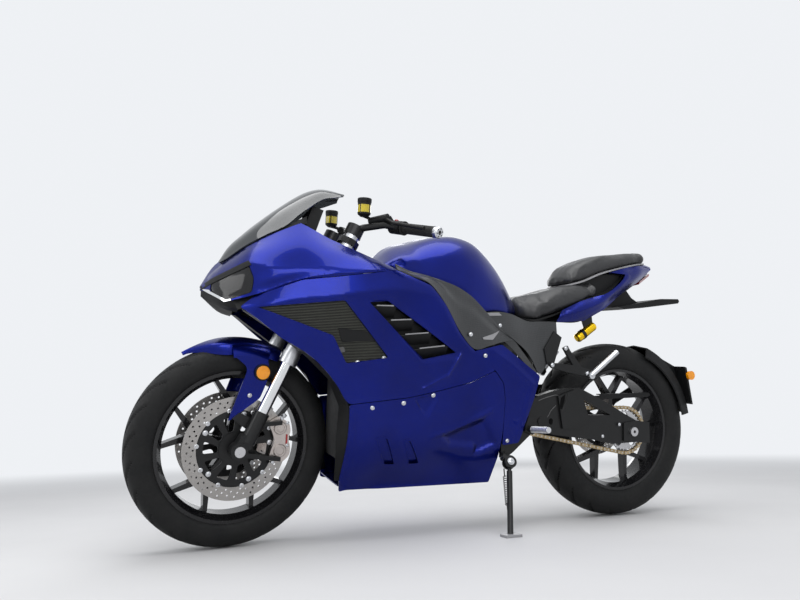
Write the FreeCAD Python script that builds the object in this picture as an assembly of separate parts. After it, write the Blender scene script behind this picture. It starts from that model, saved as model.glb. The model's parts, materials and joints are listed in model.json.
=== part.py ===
import FreeCAD, Part
import math
import os

# Sport bike with an electric drive, leaning on its side stand.
# Millimetres. Every piece is drawn on an upright bike: x forward from the rear axle, y to the
# left, z up from the floor. At the end the steering is turned, the bike leans on its stand and
# the origin moves to the middle of the footprint.

os.makedirs("parts", exist_ok=True)
V = FreeCAD.Vector

# Stance
wheelbase = 1380.0
lean = 8.0
steer_rest = 8.0
rake = 25.0
trail = 95.0

# Wheels and tyres
bead_radius = 216.0
front_section = 77.0
front_width = 110.0
rear_section = 98.0
rear_width = 145.0
front_radius = bead_radius + front_section
rear_radius = bead_radius + rear_section
rim_wall = 5.0
rim_lip = 3.5
spoke_count = 5
hub_radius = 34.0
front_disc_radius = 148.0
front_disc_bore = 112.0
front_disc_y = 62.0
rear_disc_radius = 110.0
rear_disc_y = -66.0
disc_thickness = 4.5
axle_radius = 10.0
rear_axle_bore = 5.0
rear_axle_bore_depth = 30.0
axle_overhang = 9.0
running_gap = 0.3

# Fork and bars
fork_offset = 25.0
fork_y = 95.0
outer_tube_radius = 24.5
stanchion_radius = 17.0
collar_radius = 27.0
collar_length = 34.0
outer_tube_low_z = 528.0
fork_top_z = 925.0
upper_clamp_z = 895.0
lower_clamp_z = 715.0
clamp_thickness = 26.0
clamp_wall = 7.0
stem_radius = 15.0
head_tube_radius = 34.0
bar_radius = 11.0
grip_radius = 16.5
grip_length = 132.0

# Drive
chain_pitch = 15.875
chain_links = 84
chain_y = 88.0
chain_width = 15.0
plate_half_height = 7.5
plate_waist = 5.2
rear_teeth = 32
drive_teeth = 14
drive_sprocket_z = 362.0
sprocket_thickness = 6.0

# Swingarm and stand
arm_inner_y = 102.0
arm_thickness = 24.0
arm_lug = 6.0
peg_bolt_x = 342.0
peg_bolt_z = 636.0
peg_plate_y = 120.3
pivot_x = 398.0
pivot_z = 358.0
pivot_radius = 20.0
stand_pivot_x = 528.0
stand_pivot_y = 166.0
stand_pivot_z = 232.0
stand_foot_x = 581.0
stand_reach = 262.0
stand_leg_radius = 9.0
foot_thickness = 7.0

# Bodywork
skin = 4.0
layer_gap = 0.4
screen_thickness = 3.5
keel_half_width = 105.0
keel_front_x = 1060.0
keel_front_z = 174.0
keel_rear_x = 569.0
keel_rear_z = 161.0
reflector_radius = 24.0
rear_reflector_radius = 17.0


def rad(angle):
    return math.radians(angle)


def prism(points, y0, y1):
    """Side outline of (x, z) points, carried across the bike from y0 to y1."""
    ring = [V(x, y0, z) for x, z in points]
    return Part.Face(Part.makePolygon(ring + ring[:1])).extrude(V(0, y1 - y0, 0))


def loft(rows):
    """Solid through rows of (x, [(y, z), ...]), each row a closed section across the bike."""
    rings = []
    for x, section in rows:
        ring = [V(x, y, z) for y, z in section]
        rings.append(Part.makePolygon(ring + ring[:1]))
    return Part.makeLoft(rings, True, True)


def layer(rows, depth, wall):
    """One layer of a side skin: rows of (x, outer points), set in by depth, wall thick."""
    sections = []
    for x, outer in rows:
        face = [(y - depth, z) for y, z in outer]
        back = [(y - depth - wall, z) for y, z in reversed(outer)]
        sections.append((x, face + back))
    return loft(sections)


def symmetric(rows):
    """Solid through rows of (x, [(y, z), ...]) that give the left half from the top down."""
    sections = []
    for x, half in rows:
        right = [(-y, z) for y, z in reversed(half) if y > 0]
        sections.append((x, half + right))
    return loft(sections)


def mirrored(shape):
    return shape.mirror(V(0, 0, 0), V(0, 1, 0))


def pair(shape):
    return Part.makeCompound([shape, mirrored(shape)])


def rod(a, b, radius):
    return Part.makeCylinder(radius, (b - a).Length, a, b - a)


def bent_rod(points, radius):
    """Round bar along straight runs with a ball at each bend."""
    shape = rod(points[0], points[1], radius)
    for a, b in zip(points[1:], points[2:]):
        shape = shape.fuse(Part.makeSphere(radius, a)).fuse(rod(a, b, radius))
    return shape


def ring_about_y(profile, centre, start=0.0, sweep=360.0):
    """Profile of (across, radius) points turned about an axle at centre, from straight up."""
    ring = [V(centre.x, centre.y + w, centre.z + r) for w, r in profile]
    face = Part.Face(Part.makePolygon(ring + ring[:1]))
    face.rotate(centre, V(0, 1, 0), start)
    return face.revolve(centre, V(0, 1, 0), sweep)


def grown(points, factor):
    """Outline scaled about its own middle."""
    mx = sum(p[0] for p in points) / len(points)
    mz = sum(p[1] for p in points) / len(points)
    return [(mx + (x - mx) * factor, mz + (z - mz) * factor) for x, z in points]


def between(a, b, t):
    return tuple(p + (q - p) * t for p, q in zip(a, b))


front_axle = V(wheelbase, 0, front_radius)
rear_axle = V(0, 0, rear_radius)
steer_axis = V(-math.sin(rad(rake)), 0, math.cos(rad(rake)))
steer_ground = V(wheelbase + trail, 0, 0)


def on_steer_axis(z, ahead=0.0, y=0.0):
    """Point level with z on the steering axis, moved ahead square to the axis."""
    along = z / steer_axis.z
    base = steer_ground + steer_axis * along
    return base + V(math.cos(rad(rake)), 0, math.sin(rad(rake))) * ahead + V(0, y, 0)


# Wheels

# Half of a tyre's section from the rim's flange out: (share of half width, share of section height)
tyre_section = [(1.0, 0.0), (1.0, 0.42), (0.4, 1.0)]
tyre_bore = bead_radius + rim_lip + running_gap


def tyre_height(radius, share):
    """Distance from the axle at a share of the section height."""
    return tyre_bore + (radius - tyre_bore) * share


def tyre(radius, width, axle):
    left = []
    for across_share, height_share in tyre_section:
        left.append((width / 2 * across_share, tyre_height(radius, height_share)))
    right = [(-across, height) for across, height in reversed(left)]
    return ring_about_y(left + right, axle)


def rim(width, axle, spoke_half):
    """Cast rim with a dropped centre, split spokes and a hub bored for the axle."""
    seat = width * 0.36
    flange = seat + 6
    well = bead_radius - 14
    profile = [
        (-flange, bead_radius + rim_lip), (-seat, bead_radius), (-seat * 0.5, well), (seat * 0.5, well),
        (seat, bead_radius), (flange, bead_radius + rim_lip), (flange, bead_radius + rim_lip - 2 * rim_wall),
        (seat * 0.6, well - rim_wall), (-seat * 0.6, well - rim_wall),
        (-flange, bead_radius + rim_lip - 2 * rim_wall),
    ]
    shape = ring_about_y(profile, axle)
    hub = Part.makeCylinder(hub_radius, 2 * spoke_half + 12, axle - V(0, spoke_half + 6, 0), V(0, 1, 0))
    shape = shape.fuse(hub)
    fork_radius = 105.0
    reach = well - rim_wall / 2
    for i in range(spoke_count):
        turn = 360.0 / spoke_count * i
        stem = [(-13, hub_radius - 6), (-8, fork_radius), (-math.sin(rad(17)) * reach - 6, reach - 8),
                (-math.sin(rad(17)) * reach + 6, reach - 4), (0, fork_radius + 22),
                (math.sin(rad(17)) * reach - 6, reach - 4), (math.sin(rad(17)) * reach + 6, reach - 8),
                (8, fork_radius), (13, hub_radius - 6)]
        arm = prism([(axle.x + a, axle.z + b) for a, b in stem], -spoke_half * 0.8, spoke_half * 0.8)
        arm.rotate(axle, V(0, 1, 0), turn)
        shape = shape.fuse(arm)
    bore = Part.makeCylinder(axle_radius + running_gap, 200, axle - V(0, 100, 0), V(0, 1, 0))
    return shape.cut(bore)


def disc(radius, bore, axle, y, inner_y):
    """Brake disc ring on a five armed carrier that bolts to the hub."""
    ring = Part.makeCylinder(radius, disc_thickness, axle + V(0, y - disc_thickness / 2, 0), V(0, 1, 0))
    ring = ring.cut(Part.makeCylinder(bore, disc_thickness, axle + V(0, y - disc_thickness / 2, 0), V(0, 1, 0)))
    low = min(y, inner_y) if y > 0 else y - disc_thickness / 2
    high = y + disc_thickness / 2 if y > 0 else max(y, inner_y)
    hub = Part.makeCylinder(hub_radius, high - low, axle + V(0, low, 0), V(0, 1, 0))
    for i in range(spoke_count):
        arm = prism([(axle.x + a, axle.z + b) for a, b in
                     ((-22, hub_radius - 8), (-9, bore + 4), (9, bore + 4), (22, hub_radius - 8))],
                    y - disc_thickness / 2, y + disc_thickness / 2)
        arm.rotate(axle, V(0, 1, 0), 360.0 / spoke_count * i + 36)
        hub = hub.fuse(arm)
    bore_tool = Part.makeCylinder(axle_radius + 4, 300, axle - V(0, 150, 0), V(0, 1, 0))
    return ring.fuse(hub).cut(bore_tool)


def sprocket_radius(teeth):
    return chain_pitch / (2 * math.sin(math.pi / teeth))


def sprocket_tip(teeth):
    """Tooth tips just inside the flats of the chain that wraps them."""
    return (sprocket_radius(teeth) - plate_half_height) * math.cos(math.pi / teeth) - running_gap


rear_pitch_radius = sprocket_radius(rear_teeth)
drive_pitch_radius = sprocket_radius(drive_teeth)


def chain_centres():
    """Distance between the sprockets that closes a chain of this many links."""
    low, high = 300.0, 700.0
    difference = rear_pitch_radius - drive_pitch_radius
    for _ in range(60):
        centre = (low + high) / 2
        tilt = math.asin(difference / centre)
        length = 2 * centre * math.cos(tilt) + math.pi * (rear_pitch_radius + drive_pitch_radius)
        length += 2 * tilt * difference
        if length > chain_links * chain_pitch:
            high = centre
        else:
            low = centre
    return centre


chain_centre = chain_centres()
drive_sprocket_x = math.sqrt(chain_centre ** 2 - (drive_sprocket_z - rear_radius) ** 2)
drive_axle = V(drive_sprocket_x, 0, drive_sprocket_z)


def chain_point(s):
    """Point and outward direction on the pitch line at the distance s round the loop."""
    rise = math.atan2(drive_axle.z - rear_axle.z, drive_axle.x - rear_axle.x)
    tilt = math.asin((rear_pitch_radius - drive_pitch_radius) / chain_centre)
    run = chain_centre * math.cos(tilt)
    top = rise + math.pi / 2 - tilt
    bottom = rise - math.pi / 2 + tilt
    rear_arc = rear_pitch_radius * (math.pi + 2 * tilt)
    drive_arc = drive_pitch_radius * (math.pi - 2 * tilt)
    if s < rear_arc:
        angle = top + s / rear_pitch_radius
        out = V(math.cos(angle), 0, math.sin(angle))
        return rear_axle + out * rear_pitch_radius, out
    s -= rear_arc
    if s < run:
        out = V(math.cos(bottom), 0, math.sin(bottom))
        a = rear_axle + out * rear_pitch_radius
        b = drive_axle + out * drive_pitch_radius
        return a + (b - a) * (s / run), out
    s -= run
    if s < drive_arc:
        angle = bottom + s / drive_pitch_radius
        out = V(math.cos(angle), 0, math.sin(angle))
        return drive_axle + out * drive_pitch_radius, out
    s -= drive_arc
    out = V(math.cos(top), 0, math.sin(top))
    a = drive_axle + out * drive_pitch_radius
    b = rear_axle + out * rear_pitch_radius
    return a + (b - a) * (s / run), out


def turns(a, b, c):
    """True where the path a, b, c bends."""
    return abs((b[0] - a[0]) * (c[1] - b[1]) - (b[1] - a[1]) * (c[0] - b[0])) > 0.5


def chain():
    """The loop as one band whose edges follow the waisted link plates."""
    outer = []
    inner = []
    for i in range(chain_links):
        for step, height in ((0.0, plate_half_height), (0.5, plate_waist)):
            point, out = chain_point((i + step) * chain_pitch)
            outer.append((point.x + out.x * height, point.z + out.z * height))
            side = (point.x - out.x * plate_half_height, point.z - out.z * plate_half_height)
            if step == 0.0 and (len(inner) < 2 or turns(inner[-2], inner[-1], side)):
                inner.append(side)
            elif step == 0.0:
                inner[-1] = side
    low = chain_y - chain_width / 2
    high = chain_y + chain_width / 2
    return prism(outer, low, high).cut(prism(inner, low - 1, high + 1))


def rear_sprocket():
    """Toothed ring that runs just inside the chain plates, on a carrier to the hub."""
    tip = sprocket_tip(rear_teeth)
    root = tip - 5
    points = []
    for i in range(rear_teeth):
        for step, radius in ((0.0, root), (0.22, root), (0.42, tip), (0.58, tip), (0.78, root)):
            if step == 0.0:
                continue
            angle = 2 * math.pi * (i + step) / rear_teeth
            points.append((radius * math.cos(angle), rear_radius + radius * math.sin(angle)))
    body = prism(points, chain_y - sprocket_thickness / 2, chain_y + sprocket_thickness / 2)
    for i in range(spoke_count):
        hole = Part.makeCylinder(13, 30, V(0, chain_y - 15, rear_radius + 52), V(0, 1, 0))
        hole.rotate(rear_axle, V(0, 1, 0), 360.0 / spoke_count * i)
        body = body.cut(hole)
    carrier = Part.makeCylinder(hub_radius, chain_y - 24, V(0, 24, rear_radius), V(0, 1, 0))
    bore = Part.makeCylinder(axle_radius + running_gap, 200, V(0, -20, rear_radius), V(0, 1, 0))
    return body.fuse(carrier).cut(bore)


# Steering

def leg_point(z, y=fork_y):
    return on_steer_axis(z, fork_offset, y)


def fork_tubes():
    """Two outer tubes, bored for the stanchions."""
    low = leg_point(outer_tube_low_z)
    top = leg_point(fork_top_z)
    tube = rod(low, top, outer_tube_radius)
    collar = rod(low, low + steer_axis * collar_length, collar_radius)
    return pair(tube.fuse(collar))


def stanchions():
    low = leg_point(front_radius + 95)
    return pair(rod(low, leg_point(outer_tube_low_z), stanchion_radius))


def fork_feet():
    """Axle carriers below the stanchions, with the brake lugs behind."""
    top = leg_point(front_radius + 95)
    base = leg_point(front_radius + 12)
    shape = rod(base, top, stanchion_radius + 5)
    boss = Part.makeCylinder(24, 38, front_axle + V(0, fork_y - 19, 0), V(0, 1, 0))
    heel = prism([(front_axle.x - 30, front_axle.z + 4), (front_axle.x + 20, front_axle.z + 4),
                  (front_axle.x - 6, front_axle.z + 46), (front_axle.x - 52, front_axle.z + 46)],
                 fork_y - 17, fork_y + 17)
    lug_top = prism([(front_axle.x - 124, front_axle.z + 68), (front_axle.x - 30, front_axle.z + 62),
                     (front_axle.x - 34, front_axle.z + 74), (front_axle.x - 124, front_axle.z + 80)],
                    fork_y - 8, fork_y + 3)
    lug_low = prism([(front_axle.x - 124, front_axle.z - 38), (front_axle.x - 12, front_axle.z - 20),
                     (front_axle.x - 14, front_axle.z - 6), (front_axle.x - 124, front_axle.z - 26)],
                    fork_y - 8, fork_y + 3)
    tab = prism([(1330, 344), (1330, 374), (1380, 398), (1400, 382), (1350, 344)], 78.3, 86.0)
    shape = shape.fuse(boss).fuse(heel).fuse(lug_top).fuse(lug_low).fuse(tab)
    bore = Part.makeCylinder(axle_radius, 400, front_axle - V(0, 200, 0), V(0, 1, 0))
    return pair(shape.cut(bore))


def clamp_plate(z, thickness):
    """Triple clamp square to the steering axis, around both fork legs and the stem."""
    centre = on_steer_axis(z)
    ahead = V(math.cos(rad(rake)), 0, math.sin(rad(rake)))
    reach = outer_tube_radius + clamp_wall
    outline = [(-30, 0), (-26, 40), (fork_offset - reach * 0.9, fork_y + reach * 0.5),
               (fork_offset - reach * 0.3, fork_y + reach), (fork_offset + reach * 0.4, fork_y + reach),
               (fork_offset + reach, fork_y + reach * 0.4), (fork_offset + reach, fork_y - reach * 0.5),
               (fork_offset + 12, 30)]
    left = [centre + ahead * a + V(0, y, 0) for a, y in outline]
    right = [centre + ahead * a - V(0, y, 0) for a, y in reversed(outline) if y > 0]
    ring = left + right
    plate = Part.Face(Part.makePolygon(ring + ring[:1])).extrude(steer_axis * thickness)
    for side in (1, -1):
        hole = rod(leg_point(z - 60, side * fork_y), leg_point(z + 90, side * fork_y), outer_tube_radius)
        plate = plate.cut(hole)
    return plate


def triple_clamps():
    lower = clamp_plate(lower_clamp_z, clamp_thickness)
    upper = clamp_plate(upper_clamp_z, clamp_thickness * 0.7)
    stem = rod(on_steer_axis(lower_clamp_z), on_steer_axis(upper_clamp_z + 22), stem_radius)
    cap = rod(on_steer_axis(upper_clamp_z) + steer_axis * 18, on_steer_axis(upper_clamp_z) + steer_axis * 30, 17)
    return lower.fuse(upper).fuse(stem).fuse(cap)


grip_inner = V(947, 205, 962)
grip_outer = V(904, 345, 938)
bar_root = V(1040, 118, 962)
bar_bend = V(990, 165, 972)


def bar_direction():
    return (grip_outer - grip_inner).normalize()


def handlebars():
    """Bars on risers from the fork tops, sweeping back to the grips."""
    clamp_low = leg_point(fork_top_z)
    riser = rod(clamp_low + steer_axis * 0.0, clamp_low + steer_axis * 34, outer_tube_radius + 4)
    arm = bent_rod([clamp_low + steer_axis * 20, bar_root, bar_bend, grip_inner, grip_outer], bar_radius)
    return pair(riser.fuse(arm))


def grips():
    start = grip_inner + bar_direction() * 4
    sleeve = rod(start, start + bar_direction() * grip_length, grip_radius)
    flange = rod(start, start + bar_direction() * 5, grip_radius + 5)
    core = rod(start - bar_direction() * 5, grip_outer + bar_direction() * 30, bar_radius)
    return pair(sleeve.fuse(flange).cut(core))


def bar_ends():
    start = grip_inner + bar_direction() * (4 + grip_length + 0.3)
    cap = rod(start, start + bar_direction() * 17, grip_radius + 1)
    core = rod(grip_inner, grip_outer + bar_direction() * running_gap, bar_radius)
    return pair(cap.cut(core))


def controls():
    """Switch housing, master cylinder and lever on each bar."""
    along = bar_direction()
    low = grip_inner - along * 46
    housing = rod(low, low + along * 44, 21)
    master = rod(V(1018, 120, 985), V(985, 178, 994), 12)
    neck = rod(V(985, 178, 994), V(968, 178, 972), 10)
    lever = bent_rod([V(992, 172, 990), V(985, 215, 972), V(944, 330, 948)], 5.5)
    shape = housing.fuse(master).fuse(neck).fuse(lever)
    return pair(shape.cut(bent_rod([bar_root, bar_bend, grip_inner, grip_outer], bar_radius)))


reservoir_radius = 18.0
reservoir_height = 36.0
reservoir_foot = V(1047, 136, 1001)


def reservoirs():
    """Brake fluid cups with a lid, each on a bracket from its master cylinder."""
    cup = Part.makeCylinder(reservoir_radius, reservoir_height, reservoir_foot)
    lid = Part.makeCylinder(reservoir_radius + 1.5, 13, reservoir_foot + V(0, 0, reservoir_height))
    foot = Part.makeCone(9, reservoir_radius, 8, reservoir_foot - V(0, 0, 8))
    bracket = rod(reservoir_foot - V(0, 0, 5), V(1014, 126, 988), 5)
    shape = cup.fuse(lid).fuse(foot).fuse(bracket)
    return pair(shape.cut(rod(V(1018, 120, 985), V(985, 178, 994), 12)))


fender_clearance = 12.0
# Pointed flap in front of each leg: (degrees ahead of the top, share of the fender's radius)
fender_flap = [(-17.1, 0.868), (-6.0, 0.877), (4.9, 0.879), (-3.4, 0.778), (-4.4, 0.730), (21.4, 0.278),
               (-21.9, 0.509), (-21.9, 0.625), (-20.9, 0.754)]


def front_fender():
    """Arched crown over the tyre and a pointed flap in front of each fork leg."""
    r = front_radius + fender_clearance
    outer = [(-62, r - 36), (-57, r - 8), (-30, r + 6), (0, r + 10), (30, r + 6), (57, r - 8), (62, r - 36)]
    inner = [(w * 0.95, radius - 3.5) for w, radius in reversed(outer)]
    crown = ring_about_y(outer + inner, front_axle, -24.0, 54.0)
    shoulder = ring_about_y([(56, r - 12), (78, r - 34), (78, r - 38), (56, r - 16)], front_axle, -16.0, 21.0)
    outline = []
    for degrees, share in fender_flap:
        outline.append((front_axle.x + r * share * math.sin(rad(degrees)),
                        front_axle.z + r * share * math.cos(rad(degrees))))
    flap = prism(outline, 74.6, 78.0)
    side = shoulder.fuse(flap)
    return crown.fuse(side).fuse(mirrored(side))


def side_reflectors():
    """Round amber reflectors on the fender flaps."""
    base = V(1318, 78.2, 512)
    return pair(Part.makeCylinder(reflector_radius, 9, base, V(0, 1, 0)))


def front_calipers():
    """Four piston calipers astride the discs, behind the fork legs."""
    body = prism([(1298, 366), (1262, 384), (1228, 362), (1224, 268), (1246, 250), (1290, 254),
                  (1282, 300), (1284, 330)], 49, 86.6)
    slot = Part.makeCylinder(front_disc_radius + 3, 9.5, front_axle + V(0, front_disc_y - 4.75, 0), V(0, 1, 0))
    return pair(body.cut(slot))


def front_axle_bar():
    bar = Part.makeCylinder(axle_radius, 2 * fork_y + 44, front_axle - V(0, fork_y + 22, 0), V(0, 1, 0))
    nut = Part.makeCylinder(15, 6, front_axle + V(0, fork_y + 19.3, 0), V(0, 1, 0))
    return bar.fuse(nut).fuse(mirrored(nut))


# Chassis

head_gap = 0.4


def frame():
    """Head tube, two spars down to the swingarm pivot and a cross member."""
    base = on_steer_axis(lower_clamp_z) + steer_axis * (clamp_thickness + head_gap)
    top = on_steer_axis(upper_clamp_z) - steer_axis * head_gap
    head = rod(base, top, head_tube_radius)
    rows = [
        (1092, [(16, 850), (46, 850), (46, 760), (16, 760)]),
        (1042, [(22, 838), (50, 838), (50, 744), (22, 744)]),
        (996, [(58, 812), (90, 812), (90, 716), (58, 716)]),
        (930, [(124, 776), (156, 776), (156, 700), (124, 700)]),
        (640, [(124, 668), (150, 668), (150, 590), (124, 590)]),
        (440, [(131, 452), (147, 452), (147, 330), (131, 330)]),
        (372, [(131, 400), (147, 400), (147, 340), (131, 340)]),
    ]
    spar = loft(rows)
    shape = head.fuse(spar).fuse(mirrored(spar))
    cross = Part.makeBox(26, 262, 30, V(430, -131, 420))
    shape = shape.fuse(cross)
    bore = rod(base - steer_axis * 5, top + steer_axis * 5, stem_radius + 4)
    return shape.cut(bore)


def pivot_pin():
    pin = Part.makeCylinder(pivot_radius - 8, 2 * 150, V(pivot_x, -150, pivot_z), V(0, 1, 0))
    return pin


def battery_block():
    block = Part.makeBox(370, 247.2, 440, V(690, -123.6, 240))
    boss = across(800, 120, 179.6, 350, 7)
    return block.fuse(boss).fuse(mirrored(boss))


def motor():
    """Drive motor with its shaft running out to the drive sprocket."""
    middle = drive_axle + V(60, 0, -10)
    body = across(middle.x, -127, 76, middle.z, 92).fuse(across(middle.x, -130.6, 0, middle.z, 40))
    shaft = Part.makeCylinder(12, 40, V(drive_axle.x + 0, 60, drive_axle.z), V(0, 1, 0))
    gear = Part.makeCylinder(40, 40, V(drive_axle.x, 40, drive_axle.z), V(0, 1, 0))
    small = Part.makeCylinder(sprocket_tip(drive_teeth), sprocket_thickness,
                              V(drive_axle.x, chain_y - sprocket_thickness / 2, drive_axle.z), V(0, 1, 0))
    return body.fuse(gear).fuse(shaft).fuse(small)


def keel_z(x):
    """Height of the belly's floor, which drops towards the rear."""
    slope = (keel_front_z - keel_rear_z) / (keel_front_x - keel_rear_x)
    return keel_rear_z + slope * (x - keel_rear_x)


# Left flank from front to rear: (x, outer points from the top down to the keel).
flank_rows = [
    (1400, [(132, 716), (146, 690), (148, 668), (146, 640), (144, 600), (140, 560)]),
    (1330, [(176, 736), (196, 697), (190, 650), (184, 600), (178, 540), (172, 480)]),
    (1250, [(204, 768), (217, 714), (206, 640), (199, 560), (190, 500), (180, 440)]),
    (1130, [(224, 790), (234, 729), (216, 620), (201, 490), (190, 400), (172, 300)]),
    (1060, [(228, 800), (238, 743), (219, 600), (192, 425), (178, 300), (keel_half_width, keel_z(1060))]),
    (940, [(216, 822), (236, 762), (215, 590), (199, 440), (184, 300), (keel_half_width, keel_z(940))]),
    (840, [(222, 790), (228, 755), (215, 590), (199, 455), (184, 300), (keel_half_width, keel_z(840))]),
    (700, [(206, 760), (208, 720), (197, 590), (187, 485), (174, 330), (keel_half_width, keel_z(700))]),
    (540, [(180, 760), (184, 700), (178, 580), (172, 470), (160, 310), (keel_half_width, keel_z(540))]),
]

split_line = [(590, 525), (678, 488), (777, 465), (891, 442), (1072, 422)]
fairing_outline = [
    (1387, 690), (1351, 721), (1312, 736), (1274, 751), (1226, 770), (1133, 783), (1029, 801), (946, 818),
    (835, 777), (783, 722), (728, 641), (673, 588),
] + split_line + [
    (1089, 438), (1109, 471), (1138, 507), (1174, 543), (1211, 570), (1278, 607), (1349, 663),
]
belly_outline = split_line + [(1071, 388), (1077, keel_rear_z), (keel_rear_x, keel_rear_z), (556, 246),
                              (548, 434), (556, 483)]
belly_slots = [
    [(987, 320), (955, 325), (917, 239), (948, 240)],
    [(900, 312), (882, 316), (838, 240), (870, 238)],
]
mesh_outline = [(1346, 690), (1106, 719), (962, 557), (1090, 538), (1133, 617)]
gill_outline = [(1036, 717), (978, 724), (738, 577), (853, 554)]


def side_fairings():
    panel = layer(flank_rows, 0, skin).common(prism(fairing_outline, 100, 300))
    panel = panel.cut(prism(mesh_outline, 100, 300)).cut(prism(gill_outline, 100, 300))
    return pair(panel)


def belly_pan():
    side = layer(flank_rows, 0, skin).common(prism(belly_outline, keel_half_width - skin - 1, 300))
    for slot in belly_slots:
        side = side.cut(prism(slot, 100, 300))
    rows = []
    for x in (keel_front_x, keel_rear_x):
        reach = keel_half_width - 1
        low, high = keel_z(x), keel_z(x) + skin
        rows.append((x, [(-reach, high), (reach, high), (reach, low), (-reach, low)]))
    return side.fuse(loft(rows)).fuse(mirrored(side))


gill_slats = 4


def vent_grilles():
    """Mesh panel and slatted gills, seated behind the openings of each fairing."""
    mesh = layer(flank_rows, skin + layer_gap, 2.5).common(prism(grown(mesh_outline, 1.04), 100, 300))
    frame_ring = layer(flank_rows, skin + layer_gap, 3.0).common(prism(grown(gill_outline, 1.06), 100, 300))
    frame_ring = frame_ring.cut(prism(gill_outline, 100, 300))
    gills = frame_ring
    deep = layer(flank_rows, skin + layer_gap, 18.0)
    for i in range(gill_slats):
        t = (i + 0.5) / gill_slats
        a = between(gill_outline[0], gill_outline[3], t)
        b = between(gill_outline[1], gill_outline[2], t)
        slat = prism([(a[0] + 6, a[1] + 2), (a[0] + 6, a[1] - 3), (b[0] - 6, b[1] - 3), (b[0] - 6, b[1] + 2)],
                     100, 300)
        gills = gills.fuse(deep.common(slat))
    return Part.makeCompound([mesh, gills, mirrored(mesh), mirrored(gills)])


def inner_panels():
    """Black returns from the front edge of each fairing in towards the wheel."""
    rows = [
        # edge x, y, z, inner x, y, z
        (1384, 152.5, 686, 1372, 112, 680),
        (1305, 188.8, 634, 1292, 140, 626),
        (1205, 198.8, 568, 1195, 146, 556),
        (1132, 197.8, 504, 1128, 150, 492),
        (1082, 187.8, 428, 1092, 146, 414),
        (1064, 182.0, 380, 1094, 138, 330),
        (1066, 169.9, 300, 1092, 126, 276),
        (1066, 109.6, 192, 1084, 88, 188),
    ]
    rings = []
    for ex, ey, ez, ix, iy, iz in rows:
        quad = [V(ex, ey, ez), V(ix, iy, iz), V(ix - 4, iy, iz), V(ex - 4, ey, ez)]
        rings.append(Part.makePolygon(quad + quad[:1]))
    return pair(Part.makeLoft(rings, True, True))


spar_cover_outline = [(668, 584), (563, 608), (409, 508), (433, 432), (467, 349), (488, 292), (550, 286),
                      (544, 434), (552, 484), (586, 524)]


def spar_covers():
    """Painted side covers over the pivot plates."""
    rows = [
        (690, [(186, 640), (186, 560), (178, 470), (164, 300), (152, 180)]),
        (560, [(172, 640), (174, 560), (168, 470), (158, 300), (150, 180)]),
        (400, [(156, 640), (158, 560), (158, 470), (152, 300), (148, 180)]),
    ]
    return pair(layer(rows, 2.0, skin).common(prism(spar_cover_outline, 100, 300)))


# Nose from the tip back: (x, top edge, ridge, lower edge) as (y, z).
nose_rows = [
    (1486, (4, 760), (10, 752), (14, 742)),
    (1462, (22, 794), (60, 768), (62, 738)),
    (1421, (40, 834), (106, 790), (120, 706)),
    (1369, (82, 872), (150, 816), (166, 719)),
    (1315, (100, 905), (184, 800), (184, 736)),
    (1219, (119, 951), (208, 800), (206, 773)),
    (1133, (146, 905), (222, 806), (222, 785)),
    (1029, (178, 860), (228, 811), (226, 803)),
    (946, (200, 824), (208, 822), (214, 819)),
]
lamp_outline = [(1462, 766), (1369, 815), (1354, 769), (1358, 731), (1421, 708), (1464, 738)]


def nose_skin(depth, wall):
    rows = [(x, [top, ridge, low]) for x, top, ridge, low in nose_rows]
    return layer(rows, depth, wall)


def nose_cowl():
    """Pointed front cowl: two flanks joined by the beak between the lamps."""
    flank = nose_skin(0, skin).cut(prism(lamp_outline, 0, 300))
    beak = symmetric([
        (1489, [(0, 758), (6, 756), (10, 746), (0, 742)]),
        (1462, [(0, 808), (24, 792), (58, 766), (0, 760)]),
        (1442, [(0, 832), (34, 812), (84, 778), (0, 772)]),
    ])
    chin = symmetric([
        (1486, [(0, 744), (12, 742), (10, 734), (0, 732)]),
        (1421, [(0, 712), (118, 706), (112, 694), (0, 700)]),
        (1390, [(0, 706), (134, 702), (128, 688), (0, 694)]),
    ])
    return flank.fuse(mirrored(flank)).fuse(beak).fuse(chin)


def headlamps():
    """Dark lamp lenses in the cowl's openings, with their housings behind."""
    lens = nose_skin(2.0, 26.0).common(prism(grown(lamp_outline, 0.97), 0, 300))
    return pair(lens.cut(nose_cowl()))


# Screen from the base up: (x, crown z, middle y, middle z, edge y, edge z).
screen_rows = [
    (1440, 836, 16, 834, 26, 828),
    (1423, 868, 26, 858, 44, 838),
    (1376, 922, 50, 906, 78, 874),
    (1316, 978, 64, 956, 101, 911),
    (1253, 1030, 70, 1004, 114, 948),
    (1227, 1050, 70, 1024, 114, 974),
    (1190, 1074, 68, 1048, 104, 1006),
    (1145, 1090, 62, 1070, 86, 1040),
    (1105, 1090, 52, 1074, 68, 1054),
    (1068, 1082, 36, 1076, 46, 1068),
]


def windscreen():
    """Double bubble screen with a turned up lip."""
    sections = []
    for x, zc, ym, zm, ye, ze in screen_rows:
        top = [(-ye, ze), (-ym, zm), (0, zc), (ym, zm), (ye, ze)]
        low = [(y, z - screen_thickness * 1.3) for y, z in reversed(top)]
        sections.append((x, top + low))
    screen = loft(sections)
    screen.translate(V(0, 0, -1.1))
    return screen


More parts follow.
